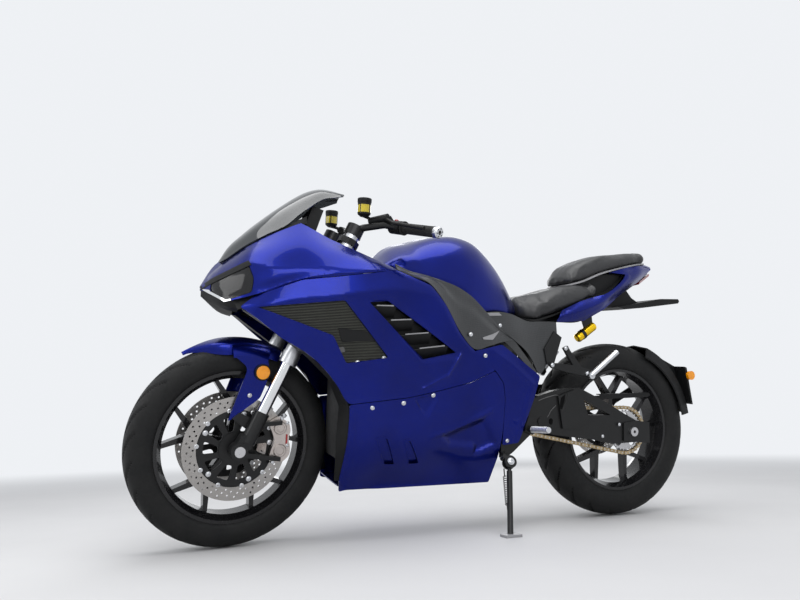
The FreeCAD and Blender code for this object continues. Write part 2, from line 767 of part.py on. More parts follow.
def dash_panel():
    """Black screen bracket along each edge, and the instrument pod behind the screen."""
    bracket = loft([
        (1420, [(44, 832), (50, 826), (40, 818), (34, 826)]),
        (1316, [(98, 902), (104, 896), (92, 884), (86, 892)]),
        (1222, [(116, 962), (120, 950), (104, 930), (96, 944)]),
        (1200, [(112, 975), (116, 950), (100, 930), (92, 944)]),
    ])
    cross = Part.makeBox(20, 204, 26, V(1200, -102, 934))
    pod = Part.makeBox(36, 150, 92, V(1150, -75, 0))
    pod.rotate(V(1150, 0, 0), V(0, 1, 0), -18)
    pod.translate(V(19, 0, 920))
    stay = loft([
        (1210, [(-42, 955), (42, 955), (42, 830), (-42, 830)]),
        (1200, [(-42, 955), (42, 955), (42, 830), (-42, 830)]),
    ])
    neck = Part.makeBox(22, 60, 34, V(1182, -30, 938))
    shape = bracket.fuse(mirrored(bracket)).fuse(cross).fuse(pod).fuse(stay).fuse(neck)
    return shape.cut(nose_cowl())


# Tank from the front back: (x, crown z, shoulder y, z, side y, z, hip y, z, floor z).
tank_rows = [
    (968, 868, 60, 862, 120, 848, 150, 836, 828),
    (930, 908, 82, 894, 155, 861, 174, 836, 800),
    (850, 942, 100, 920, 163, 873, 178, 820, 785),
    (760, 968, 112, 946, 170, 884, 177, 798, 776),
    (690, 974, 110, 950, 164, 878, 171, 770, 758),
    (630, 958, 104, 934, 150, 852, 158, 722, 712),
    (563, 912, 88, 888, 126, 812, 138, 722, 708),
    (503, 848, 66, 832, 100, 776, 114, 722, 706),
    (452, 766, 50, 760, 66, 742, 74, 722, 706),
]


def tank():
    rows = []
    for x, zc, y1, z1, y2, z2, y3, z3, floor in tank_rows:
        rows.append((x, [(0, zc), (y1, z1), (y2, z2), (y3, z3), (y3 - 8, floor), (0, floor)]))
    return symmetric(rows)


def side_trims():
    """Dark panels between tank and fairing, and below the seat."""
    trim = layer([
        (942, [(190, 840), (204, 826), (210, 820)]),
        (900, [(188, 824), (204, 810), (218, 806)]),
        (833, [(188, 812), (206, 800), (219, 779)]),
        (783, [(186, 800), (202, 770), (214, 724)]),
        (728, [(182, 784), (196, 720), (204, 643)]),
        (673, [(176, 756), (188, 700), (192, 592)]),
        (612, [(168, 706), (178, 660), (180, 602)]),
        (563, [(158, 664), (162, 640), (164, 614)]),
        (512, [(150, 630), (151, 627), (151, 624)]),
    ], 1.0, 3.0)
    seat_side = layer([
        (620, [(156, 710), (154, 706), (153, 702)]),
        (560, [(146, 716), (150, 680), (151, 664)]),
        (510, [(136, 712), (146, 670), (150, 630)]),
        (420, [(120, 690), (126, 660), (130, 560)]),
        (391, [(118, 692), (122, 660), (125, 516)]),
        (316, [(118, 694), (121, 670), (124, 641)]),
    ], 4.5, 3.0)
    seat_side = seat_side.cut(across(peg_bolt_x, 60, 180, peg_bolt_z, 7.4))
    return Part.makeCompound([trim, seat_side, mirrored(trim), mirrored(seat_side)])


def rider_seat():
    """Low saddle, kept as a plain crowned solid."""
    rows = []
    for x, top, y1, z1, y2, z2, low in [
        (448, 756, 44, 752, 66, 728, 712),
        (415, 772, 84, 764, 112, 722, 700),
        (352, 790, 100, 778, 120, 734, 712),
        (259, 818, 98, 806, 114, 762, 744),
        (157, 842, 82, 828, 102, 804, 790),
        (116, 846, 60, 834, 80, 824, 808),
    ]:
        rows.append((x, [(0, top), (y1, z1), (y2, z2), (y2 - 10, low), (0, low)]))
    return symmetric(rows)


def pillion_seat():
    rows = []
    seat_drop = 1.1
    for x, top, y1, z1, y2, z2, low in [
        (228, 868, 48, 862, 70, 848, 836),
        (210, 894, 64, 882, 84, 854, 842),
        (177, 914, 74, 900, 88, 868, 852),
        (100, 944, 76, 930, 88, 902, 884),
        (7, 960, 74, 948, 82, 928, 912),
        (-100, 974, 56, 964, 62, 950, 938),
        (-148, 970, 36, 962, 40, 954, 946),
    ]:
        rows.append((x, [(0, top), (y1, z1), (y2, z2), (y2 - 8, low - seat_drop), (0, low - seat_drop)]))
    return symmetric(rows)


# Hand pocket in each flank of the tail, below the pillion pad.
pocket_outline = [(212, 834), (184, 850), (87, 882), (-13, 887), (-2, 875), (43, 837), (86, 813), (139, 796)]
pocket_floor_y = 66.0


def tail_cowl():
    """Tail that rises from beside the seat to a point behind the pillion pad."""
    rear = symmetric([
        (246, [(0, 826), (60, 826), (78, 822), (84, 790), (60, 770), (0, 770)]),
        (116, [(0, 872), (84, 872), (96, 866), (112, 800), (86, 744), (0, 744)]),
        (0, [(0, 902), (76, 902), (88, 884), (96, 850), (70, 806), (0, 806)]),
        (-100, [(0, 932), (56, 934), (64, 916), (66, 888), (44, 858), (0, 858)]),
        (-205, [(0, 938), (10, 936), (14, 926), (12, 918), (8, 914), (0, 914)]),
    ])
    rear = rear.cut(rider_seat_space())
    side = loft([
        (346, [(126, 712), (132, 708), (130, 700), (122, 704)]),
        (300, [(116, 732), (131, 722), (122, 690), (108, 694)]),
        (206, [(106, 772), (124, 750), (108, 699), (94, 704)]),
        (110, [(88, 810), (110, 790), (98, 742), (80, 748)]),
    ])
    pocket = prism(pocket_outline, pocket_floor_y, 140)
    rear = rear.cut(pocket).cut(mirrored(pocket))
    return rear.fuse(side).fuse(mirrored(side)).cut(rider_seat())


def rider_seat_space():
    return prism([(480, 680), (480, 900), (254, 822), (100, 850), (100, 800), (160, 784), (262, 738)], -125, 125)


def subframe():
    """Tail rails from the spars up under both seats."""
    rail = loft([
        (620, [(92, 700), (116, 700), (116, 660), (92, 660)]),
        (420, [(84, 692), (106, 692), (106, 656), (84, 656)]),
        (262, [(58, 734), (78, 734), (78, 706), (58, 706)]),
        (205, [(50, 755), (68, 755), (68, 728), (50, 728)]),
        (120, [(50, 744.2), (68, 744.2), (68, 726), (50, 726)]),
    ])
    deck = loft([
        (600, [(-92, 690), (92, 690), (92, 682), (-92, 682)]),
        (420, [(-84, 688), (84, 688), (84, 680), (-84, 680)]),
        (262, [(-60, 734), (60, 734), (60, 724), (-60, 724)]),
    ])
    hanger = prism([(620, 700), (560, 700), (560, 600), (640, 600)], 100, 124)
    hanger = hanger.fuse(across(585, 120, 142.4, 688, 6))
    peg_plate = prism([(300, 704), (390, 680), (362, 618), (325, 618)], 78, 92)
    peg_plate = peg_plate.fuse(across(peg_bolt_x, 90, peg_plate_y - 0.3, peg_bolt_z, 7))
    side = rail.fuse(hanger).fuse(peg_plate)
    return deck.fuse(side).fuse(mirrored(side))


def tail_lamp():
    return symmetric([
        (-130, [(0, 873.6), (34, 873.6), (28, 862), (0, 860)]),
        (-200, [(0, 910.9), (9, 910.9), (7, 902), (0, 901)]),
    ])


def tail_plate():
    """Flat blade under the tail, on its curved stalk."""
    stalk = prism([(40, 784.2), (0, 805.6), (-60, 836.8), (-88, 806), (-118, 790), (-114, 780), (-60, 771),
                   (-10, 767), (30, 764)], -34, 34)
    blade = prism([(4, 765), (-24, 759), (-110, 767), (-286, 793), (-292, 802), (-286, 810), (-200, 806),
                   (-110, 788)], -68, 68)
    return stalk.fuse(blade)


# Rear end

arm_outline = [(430, 362), (436, 384), (420, 420), (394, 440), (330, 458), (264, 467), (226, 468), (118, 421),
               (34, 378), (-20, 352), (-75, 345), (-75, 272), (-20, 276), (88, 272), (164, 288), (324, 308),
               (404, 326)]
arm_window = [(214, 428), (92, 372), (190, 374)]


def swingarm():
    """Two cast arms with triangular windows, joined across in front of the tyre."""
    arm = prism(arm_outline, arm_inner_y, arm_inner_y + arm_thickness)
    arm = arm.cut(prism(arm_window, 0, 300))
    lump = prism([(300, 330), (318, 440), (250, 462), (215, 430), (190, 360), (240, 330)],
                 arm_inner_y + arm_thickness, arm_inner_y + arm_thickness + 8)
    lug = prism([(-75, 345), (-20, 352), (40, 345), (40, 282), (-20, 276), (-75, 272)],
                arm_inner_y + arm_thickness, arm_inner_y + arm_thickness + arm_lug)
    tube = Part.makeCylinder(pivot_radius, 2 * (arm_inner_y + 1), V(pivot_x, -arm_inner_y - 1, pivot_z), V(0, 1, 0))
    brace = prism([(382, 412), (374, 430), (346, 438), (336, 424), (350, 412)], -arm_inner_y - 1, arm_inner_y + 1)
    side = arm.fuse(lug).fuse(lump)
    shape = side.fuse(mirrored(side)).fuse(tube).fuse(brace)
    bore = Part.makeCylinder(axle_radius, 400, V(0, -200, rear_radius), V(0, 1, 0))
    pin = Part.makeCylinder(pivot_radius - 8 + 0.05, 400, V(pivot_x, -200, pivot_z), V(0, 1, 0))
    return shape.cut(bore).cut(pin)


def rear_axle_bar():
    end = arm_inner_y + arm_thickness + arm_lug
    half = end + axle_overhang
    bar = across(0, -half, half, rear_radius, axle_radius)
    nut = across(0, end + running_gap, end + axle_overhang, rear_radius, 16)
    bore = across(0, half - rear_axle_bore_depth, half, rear_radius, rear_axle_bore)
    return bar.fuse(nut).fuse(mirrored(nut)).cut(bore).cut(mirrored(bore))


def rear_caliper():
    centre = V(0, 0, rear_radius)
    z = rear_radius
    body = prism([(60, z + 78), (118, z + 58), (132, z + 90), (76, z + 116)], -86, -50)
    slot = Part.makeCylinder(rear_disc_radius + 3, 9, centre + V(0, rear_disc_y - 4.5, 0), V(0, 1, 0))
    bracket = prism([(-16, z + 16), (24, z + 16), (110, z + 71), (84, z + 90)], -101.6, -90)
    neck = prism([(84, z + 72), (110, z + 64), (122, z + 84), (92, z + 98)], -92, -84)
    hole = Part.makeCylinder(axle_radius, 200, V(0, -150, rear_radius), V(0, 1, 0))
    return body.cut(slot).fuse(neck).fuse(bracket).cut(hole)


def chain_guard():
    """Long flat guard over the top run of the chain."""
    bar = prism([(118, 444), (-104, 449), (-110, 440), (-96, 434), (118, 426)], chain_y + 10, chain_y + 13)
    top = prism([(118, 444), (-104, 449), (-104, 446), (118, 441)], chain_y - 8, chain_y + 12)
    foot = prism([(100, 443), (118, 440), (176, 436), (180, 424), (118, 412), (100, 426)], chain_y + 10,
                 arm_inner_y - 0.3)
    return bar.fuse(top).fuse(foot)


def rear_shock():
    """Damper with its spring below the seat, and the gold gas reservoir."""
    low = V(358, 0, 437.5)
    top = V(372, 0, 690)
    body = rod(low, low + (top - low) * 1.0, 11)
    spring = rod(low + (top - low) * 0.18, low + (top - low) * 0.85, 26)
    return body.fuse(spring)


def reservoir_gas():
    a = V(188, 62, 640)
    b = V(112, 62, 692)
    strap = prism([(118, 676), (146, 660), (170, 725.6), (124, 725.6)], 56, 66)
    return rod(a, b, 17).fuse(strap)


def peg_hangers():
    """Cast arms: rider pegs ahead, pillion hangers behind."""
    pillion = prism([(360, 548), (344, 534), (280, 520), (196, 506), (186, 514), (190, 530), (226, 540),
                     (274, 596), (284, 612), (300, 604), (262, 546), (330, 552)], 128, 140)
    stay = prism([(360, 548), (330, 552), (300, 640), (330, 660), (370, 600)], peg_plate_y, 128)
    rider = prism([(450, 376), (428, 372), (414, 330), (436, 316), (464, 328), (462, 346)], 148.0, 157)
    peg = rod(V(446, 157, 334), V(436, 248, 342), 9)
    return Part.makeCompound([pillion.fuse(stay), rider.fuse(peg),
                              mirrored(pillion.fuse(stay)), mirrored(rider.fuse(peg))])


def pillion_pegs():
    """Alloy pegs folded up against their hangers."""
    a = V(194, 150, 512)
    b = V(104, 176, 596)
    bar = rod(a, b, 9)
    knuckle = Part.makeCylinder(12, 16, V(194, 140.3, 512), V(0, 1, 0))
    return pair(bar.fuse(knuckle))


guard_clearance = 10.0
guard_half_width = 84.0
guard_wall = 4.0
board_half_width = 92.0
# Outlines round the rear wheel: (degrees behind the top, distance outside the guard's skin)
guard_strut = [(33.0, 11), (50.8, 47), (64.0, 24), (64.0, 4), (43.1, 11)]
guard_board = [(50.8, 46), (73.5, 8), (74.5, 14), (52.3, 53)]
guard_lug = [(53.0, -26), (57.3, -5), (63.3, -21), (60.7, -41)]
guard_arm = [(98.1, -253), (110.2, -283), (55.0, -284), (54.7, -140), (57.6, -33), (62.9, -30), (62.5, -155)]


def guard_points(table):
    """Points of (x, z) from a table of (degrees behind the top, distance outside the guard's skin)."""
    reach = rear_radius + guard_clearance
    points = []
    for degrees, out in table:
        points.append((-(reach + out) * math.sin(rad(degrees)), rear_radius + (reach + out) * math.cos(rad(degrees))))
    return points


def rear_guard():
    """Mudguard behind the tyre, with the plate board, on an arm from the right swingarm."""
    r = rear_radius + guard_clearance
    side = guard_half_width
    outer = [(-side, r - 36), (-side + 8, r), (0, r + 12), (side - 8, r), (side, r - 36)]
    inner = [(w * 0.96, radius - guard_wall) for w, radius in reversed(outer)]
    shape = ring_about_y(outer + inner, rear_axle, -80.0, 58.0)
    strut = prism(guard_points(guard_strut), -40, 40)
    shape = shape.fuse(strut.cut(across(0, -50, 50, rear_radius, r + 8)))
    shape = shape.fuse(prism(guard_points(guard_board), -board_half_width, board_half_width))
    face = arm_inner_y + arm_thickness + arm_lug + running_gap
    arm = prism(guard_points(guard_arm), face, face + guard_wall)
    lug = prism(guard_points(guard_lug), side - 2.0, face + guard_wall)
    return shape.fuse(mirrored(arm.fuse(lug)))


def rear_reflectors():
    base = V(-311, board_half_width + running_gap, 515)
    return pair(Part.makeCylinder(rear_reflector_radius, 10, base, V(0, 1, 0)))


# Side stand

stand_pivot = V(stand_pivot_x, stand_pivot_y, stand_pivot_z)


def wheel_low(centre, normal, radius, half_width):
    """Height of a tyre's lowest point, for a wheel turned to this normal."""
    flat = math.sqrt(1 - normal.z ** 2)
    reach = []
    for across_share, height_share in tyre_section:
        height = tyre_height(radius, height_share)
        reach.append(height * flat + half_width * across_share * abs(normal.z))
    return centre.z - max(reach)


def parked():
    """Placement that leans the bike and sets both tyres on the floor."""
    steer = FreeCAD.Rotation(steer_axis, steer_rest)
    front_centre = steer_ground + steer.multVec(front_axle - steer_ground)
    front_normal = steer.multVec(V(0, 1, 0))
    low, high = -2.0, 2.0
    for _ in range(50):
        pitch = (low + high) / 2
        turn = FreeCAD.Rotation(V(0, 1, 0), pitch).multiply(FreeCAD.Rotation(V(1, 0, 0), -lean))
        rear = wheel_low(turn.multVec(rear_axle), turn.multVec(V(0, 1, 0)), rear_radius, rear_width / 2)
        front = wheel_low(turn.multVec(front_centre), turn.multVec(front_normal), front_radius, front_width / 2)
        if front > rear:
            low = pitch
        else:
            high = pitch
    return FreeCAD.Placement(V(0, 0, -rear), turn)


park = parked()


def stand_foot_centre():
    """Middle of the foot's sole, on the floor of the parked bike."""
    over = park.multVec(V(stand_foot_x, stand_reach, 40))
    return V(over.x, over.y, 0)


def stand_axis():
    """Hinge line that carries the leg from the floor up to its place along the arm."""
    down = park.inverse().multVec(stand_foot_centre()) - stand_pivot
    return down.cross(stand_folded).normalize()


stand_folded = V(-215, 8, 38)
stand_eye_radius = 15.0
stand_eye_half = 6.0
stand_pin_radius = 5.0


def side_stand():
    """Leg from the pivot ears to a flat foot on the floor."""
    sole = stand_foot_centre()
    foot = Part.makeBox(52, 40, foot_thickness, sole - V(26, 16, 0))
    foot.Placement = park.inverse().multiply(foot.Placement)
    ankle = park.inverse().multVec(sole + V(0, 0, foot_thickness * 0.5))
    n = stand_axis()
    down = (ankle - stand_pivot).normalize()
    tongue = rod(stand_pivot + down * 8, stand_pivot + down * 36, stand_eye_half - 0.1)
    leg = rod(stand_pivot + down * 28, ankle, stand_leg_radius)
    eye = rod(stand_pivot - n * stand_eye_half, stand_pivot + n * stand_eye_half, stand_eye_radius)
    bore = rod(stand_pivot - n * 30, stand_pivot + n * 30, stand_pin_radius + 0.08)
    return leg.fuse(tongue).fuse(eye).fuse(foot).cut(bore)


def stand_fold_angle():
    down = park.inverse().multVec(stand_foot_centre()) - stand_pivot
    return math.degrees(down.getAngle(stand_folded))


def stand_clevis():
    """Two ears on a root bar, with the pin through them."""
    n = stand_axis()
    down = (park.inverse().multVec(stand_foot_centre()) - stand_pivot).normalize()
    back = V(stand_folded).normalize()
    away = (down + back).normalize() * -1
    gap = stand_eye_half + 0.4
    shape = rod(stand_pivot - n * (gap + 7), stand_pivot + n * (gap + 7), stand_pin_radius)
    for side in (1, -1):
        a = stand_pivot + n * (side * gap)
        b = stand_pivot + n * (side * (gap + 7))
        shape = shape.fuse(rod(a, b, stand_eye_radius + 5))
    root = stand_pivot + away * (stand_eye_radius + 9)
    shape = shape.fuse(rod(root - n * (gap + 7), root + n * (gap + 7), 7))
    post = rod(root, V(536, 138, 262), 7)
    return shape.fuse(post)


def across(x, y0, y1, z, radius):
    """Round boss across the bike from y0 to y1."""
    return Part.makeCylinder(radius, y1 - y0, V(x, y0, z), V(0, 1, 0))


def body_bosses():
    """Stand-offs from the left spar that carry the fairing, side cover and tank."""
    bosses = [across(500, 144, 156.4, 450, 8), across(520, 144, 150.4, 330, 8), across(900, 150, 223.6, 730, 7),
              across(760, 140, 201.0, 700, 6)]
    pad = Part.makeCylinder(14, 54, V(850, 140, 729.4))
    shape = pad
    for boss in bosses:
        shape = shape.fuse(boss)
    return shape


def whole_frame():
    plate = prism([(372, 400), (440, 452), (500, 500), (546, 330), (546, 244), (526, 244), (500, 262),
                   (430, 320), (372, 340)], 131, 145)
    nose_stay = Part.makeBox(87.6, 30, 30, V(1112, -15, 835))
    shape = frame().fuse(plate).fuse(mirrored(plate)).fuse(stand_clevis()).fuse(nose_stay)
    shape = shape.fuse(body_bosses()).fuse(mirrored(body_bosses()))
    bore = Part.makeCylinder(pivot_radius - 8 + 0.05, 400, V(pivot_x, -200, pivot_z), V(0, 1, 0))
    return shape.cut(bore)


BODIES = {
    "chassis": {
        "frame": whole_frame,
        "pivot_pin": pivot_pin,
        "battery_block": battery_block,
        "motor": motor,
        "subframe": subframe,
        "nose_cowl": nose_cowl,
        "headlamps": headlamps,
        "windscreen": windscreen,
        "dash_panel": dash_panel,
        "side_fairings": side_fairings,
        "belly_pan": belly_pan,
        "vent_grilles": vent_grilles,
        "inner_panels": inner_panels,
        "spar_covers": spar_covers,
        "tank": tank,
        "side_trims": side_trims,
        "rider_seat": rider_seat,
        "pillion_seat": pillion_seat,
        "tail_cowl": tail_cowl,
        "tail_lamp": tail_lamp,
        "tail_plate": tail_plate,
        "swingarm": swingarm,
        "rear_axle": rear_axle_bar,
        "rear_caliper": rear_caliper,
        "chain": chain,
        "chain_guard": chain_guard,
        "rear_shock": rear_shock,
        "gas_reservoir": reservoir_gas,
        "peg_hangers": peg_hangers,
        "pillion_pegs": pillion_pegs,
        "rear_guard": rear_guard,
        "rear_reflectors": rear_reflectors,
    },
    "steering": {
        "fork_tubes": fork_tubes,
        "stanchions": stanchions,
        "fork_feet": fork_feet,
        "triple_clamps": triple_clamps,
        "handlebars": handlebars,
        "grips": grips,
        "bar_ends": bar_ends,
        "controls": controls,
        "reservoirs": reservoirs,
        "front_fender": front_fender,
        "fender_reflectors": side_reflectors,
        "front_calipers": front_calipers,
        "front_axle": front_axle_bar,
    },
    "front_wheel": {
        "front_tyre": lambda: tyre(front_radius, front_width, front_axle),
        "front_rim": lambda: rim(front_width, front_axle, 20.0),
        "front_discs": lambda: pair(disc(front_disc_radius, front_disc_bore, front_axle, front_disc_y, 26.4)),
    },
    "rear_wheel": {
        "rear_tyre": lambda: tyre(rear_radius, rear_width, rear_axle),
        "rear_rim": lambda: rim(rear_width, rear_axle, 18.0),
        "rear_disc": lambda: disc(rear_disc_radius, 74.0, rear_axle, rear_disc_y, -24.4),
        "rear_sprocket": rear_sprocket,
    },
    "side_stand": {
        "stand_leg": side_stand,
    },
}

turned = FreeCAD.Placement(steer_ground - FreeCAD.Rotation(steer_axis, steer_rest).multVec(steer_ground),
                           FreeCAD.Rotation(steer_axis, steer_rest))
shapes = {}
for body, nodes in BODIES.items():
    place = park.multiply(turned) if body in ("steering", "front_wheel") else park
    for node, make in nodes.items():
        shape = make()
        shape.Placement = place.multiply(shape.Placement)
        shapes[node] = shape

extent = FreeCAD.BoundBox()
for shape in shapes.values():
    extent.add(shape.optimalBoundingBox(False, False))
centre_shift = V(-extent.Center.x, -extent.Center.y, 0)

for node, shape in shapes.items():
    shape.translate(centre_shift)
    shape.exportStep("parts/" + node + ".step")
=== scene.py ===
import bpy
import bmesh
import json
import math
import numpy as np
from mathutils import Matrix, Vector
from mathutils.geometry import delaunay_2d_cdt

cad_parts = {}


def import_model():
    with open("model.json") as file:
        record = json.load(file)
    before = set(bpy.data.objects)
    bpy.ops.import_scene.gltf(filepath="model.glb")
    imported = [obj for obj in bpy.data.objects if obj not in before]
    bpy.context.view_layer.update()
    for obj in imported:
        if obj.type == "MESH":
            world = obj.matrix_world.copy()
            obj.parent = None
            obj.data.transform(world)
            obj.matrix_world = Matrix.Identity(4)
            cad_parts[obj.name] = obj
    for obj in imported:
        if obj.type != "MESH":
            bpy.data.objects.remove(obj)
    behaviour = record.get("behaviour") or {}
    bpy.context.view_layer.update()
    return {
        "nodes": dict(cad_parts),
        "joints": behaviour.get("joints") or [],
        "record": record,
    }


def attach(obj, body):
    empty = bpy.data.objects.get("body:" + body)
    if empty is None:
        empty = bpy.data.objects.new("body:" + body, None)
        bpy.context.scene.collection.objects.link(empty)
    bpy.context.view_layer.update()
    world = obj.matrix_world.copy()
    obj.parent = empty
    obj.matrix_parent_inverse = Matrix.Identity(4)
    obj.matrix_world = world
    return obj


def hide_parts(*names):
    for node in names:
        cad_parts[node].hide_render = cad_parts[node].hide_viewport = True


# Sport bike on its side stand. Points are in millimetres on an upright, unsteered bike
# (x forward from the rear axle, y left, z up) and are carried to the frame by two matrices.

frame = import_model()
nodes = frame["nodes"]
joints = {j["name"]: j for j in frame["joints"]}
scene = bpy.context.scene
scene.view_settings.view_transform = "Standard"

RAKE = math.radians(25.0)
STEER_REST = 8.0
MM = 0.001
MERGE_M = 0.00002
FRONT_R, REAR_R, BEAD_R = 293.0, 314.0, 216.0
WHEELBASE = 1380.0
FRONT_AXLE = Vector((WHEELBASE, 0, FRONT_R))
REAR_AXLE = Vector((0, 0, REAR_R))


def frame_matrices():
    """Matrices from millimetres on the upright bike to the frame, for the bike and for its steering."""
    side = Vector(joints["rear_wheel_turn"]["axis"]).normalized()
    steer = Vector(joints["steering_turn"]["axis"]).normalized()
    q = side.cross(steer)
    ex = (-math.sin(RAKE) * steer + math.cos(RAKE) * q).normalized()
    ez = ex.cross(side).normalized()
    turn = Matrix((ex, side, ez)).transposed().to_4x4()
    base = Vector(joints["rear_wheel_turn"]["pos_m"]) - turn @ Vector((0, 0, REAR_R * MM))
    upright = Matrix.Translation(base) @ turn @ Matrix.Scale(MM, 4)
    pivot = Vector(joints["steering_turn"]["pos_m"])
    spin = Matrix.Rotation(math.radians(STEER_REST), 4, steer)
    steered = Matrix.Translation(pivot) @ spin @ Matrix.Translation(-pivot) @ upright
    return upright, steered


UPRIGHT, STEERED = frame_matrices()
BODY_MATRIX = {"chassis": UPRIGHT, "rear_wheel": UPRIGHT, "side_stand": UPRIGHT,
               "steering": STEERED, "front_wheel": STEERED}


# Materials

def new_material(name):
    m = bpy.data.materials.new(name)
    m.use_nodes = True
    t = m.node_tree
    return m, t, t.nodes["Principled BSDF"]


def fit(t, n, **inputs):
    """Sets a node's inputs by name: a socket is linked, anything else is the input's value."""
    for key, value in inputs.items():
        target = n.inputs[key.replace("_", " ")]
        if isinstance(value, bpy.types.NodeSocket):
            t.links.new(value, target)
        else:
            target.default_value = value
    return n


def node(t, kind, **inputs):
    return fit(t, t.nodes.new("ShaderNode" + kind), **inputs)


def feed(t, n, *sources, first=0):
    """Links sources to a node's inputs in order and gives the node's output."""
    for i, source in enumerate(sources):
        t.links.new(source, n.inputs[first + i])
    return n.outputs[0]


def here(t):
    return node(t, "TexCoord").outputs["Object"]


def mixed(t, factor, a, b, blend="MIX"):
    """Two colours mixed by a factor."""
    n = node(t, "Mix")
    n.data_type = "RGBA"
    n.blend_type = blend
    return fit(t, n, Factor=factor, A=a, B=b).outputs["Result"]


def noise(t, scale, detail=3.0, rough=0.55):
    """A noise value in object space, in waves per metre."""
    return node(t, "TexNoise", Scale=scale, Detail=detail, Roughness=rough, Vector=here(t)).outputs["Fac"]


def ramp(t, source, low, high, at=(0.3, 0.7)):
    """Colour from low to high over a 0 to 1 value."""
    n = node(t, "ValToRGB", Fac=source)
    for stop, place, color in zip(n.color_ramp.elements, at, (low, high)):
        stop.position = place
        stop.color = (*color, 1.0)
    return n.outputs["Color"]


def span(t, source, low, high):
    """Spreads the middle half of a 0 to 1 value over low to high."""
    n = node(t, "MapRange", From_Min=0.25, From_Max=0.75, To_Min=low, To_Max=high, Value=source)
    return n.outputs["Result"]


def bump(t, b, height, strength, distance, **under):
    n = node(t, "Bump", Strength=strength, Distance=distance, Height=height, **under)
    fit(t, b, Normal=n.outputs["Normal"])
    return n.outputs["Normal"]


def scaled(c, k):
    return tuple(min(1.0, v * k) for v in c)


def surface(name, color, rough, metallic=0.0, coat=0.0, coat_rough=0.05, vary=0.12, patch=9.0,
            rough_vary=0.06, grain=900.0, grain_depth=0.00008, grain_strength=0.25, spec=0.2):
    """Plain finish: slow colour drift, uneven roughness and a fine grain."""
    m, t, b = new_material(name)
    fit(t, b, Base_Color=ramp(t, noise(t, patch, 4.0), scaled(color, 1 - vary), scaled(color, 1 + vary)),
        Roughness=span(t, noise(t, patch * 7, 5.0), max(0.02, rough - rough_vary), rough + rough_vary),
        Metallic=metallic, Coat_Weight=coat, Coat_Roughness=coat_rough, Specular_IOR_Level=spec)
    bump(t, b, noise(t, grain, 2.0, 0.5), grain_strength, grain_depth)
    return m


def paint():
    """Deep blue lacquer with fine metal flake and a faint orange peel under a clear coat."""
    m, t, b = new_material("blue_paint")
    flake = node(t, "TexVoronoi", Scale=1500.0, Vector=here(t))
    base = ramp(t, noise(t, 5.0), (0.0016, 0.0068, 0.128), (0.0022, 0.0098, 0.18))
    lit = ramp(t, flake.outputs["Color"], (0.75, 0.75, 0.8), (1.3, 1.3, 1.4), (0.2, 0.9))
    fit(t, b, Base_Color=mixed(t, 0.55, base, lit, "MULTIPLY"), Metallic=0.93, Coat_Weight=0.25,
        Coat_Roughness=0.03, Roughness=span(t, flake.outputs["Distance"], 0.24, 0.36))
    bump(t, b, noise(t, 260.0, 2.0), 0.05, 0.0001)
    return m


def rubber_tyre():
    m, t, b = new_material("tyre_rubber")
    fit(t, b, Base_Color=ramp(t, noise(t, 14.0, 5.0), (0.006, 0.0065, 0.007), (0.012, 0.012, 0.012)),
        Roughness=span(t, noise(t, 120.0, 5.0), 0.52, 0.72), Specular_IOR_Level=0.22)
    bump(t, b, noise(t, 1400.0, 3.0), 0.25, 0.00015)
    return m


def leather(name, color, rough):
    """Seat vinyl: a pebbled grain with fine wrinkles."""
    m, t, b = new_material(name)
    pebble = node(t, "TexVoronoi", Scale=520.0, Vector=here(t))
    pebble.feature = "DISTANCE_TO_EDGE"
    slow = noise(t, 11.0, 4.0)
    fit(t, b, Base_Color=ramp(t, slow, scaled(color, 0.8), scaled(color, 1.2)),
        Roughness=span(t, slow, rough - 0.06, rough + 0.08))
    grain = bump(t, b, pebble.outputs["Distance"], 0.5, 0.0004)
    bump(t, b, noise(t, 60.0, 6.0), 0.12, 0.001, Normal=grain)
    return m


def weave(name):
    """Dark woven look of the trims beside the tank."""
    m, t, b = new_material(name)
    turned = node(t, "Mapping", Rotation=(0, math.radians(45), 0), Vector=here(t)).outputs["Vector"]
    checks = node(t, "TexChecker", Scale=240.0, Vector=turned).outputs["Fac"]
    slow = noise(t, 18.0)
    dark = ramp(t, slow, (0.010, 0.011, 0.012), (0.016, 0.017, 0.019))
    pale = ramp(t, slow, (0.022, 0.024, 0.026), (0.031, 0.033, 0.036))
    fit(t, b, Base_Color=mixed(t, checks, dark, pale), Roughness=span(t, slow, 0.3, 0.4), Coat_Weight=0.25)
    bump(t, b, checks, 0.15, 0.0002)
    return m


def smoked(name, tint, rough, clear, coat=0.5, spec=0.5):
    """Smoked clear plastic: part see-through tint with a gloss face."""
    m, t, b = new_material(name)
    slow = noise(t, 6.0, 2.0)
    fit(t, b, Base_Color=ramp(t, slow, scaled(tint, 0.9), scaled(tint, 1.1)),
        Roughness=span(t, slow, rough, rough + 0.02), IOR=1.4, Transmission_Weight=clear,
        Specular_IOR_Level=spec, Coat_Weight=coat, Coat_Roughness=0.02)
    return m


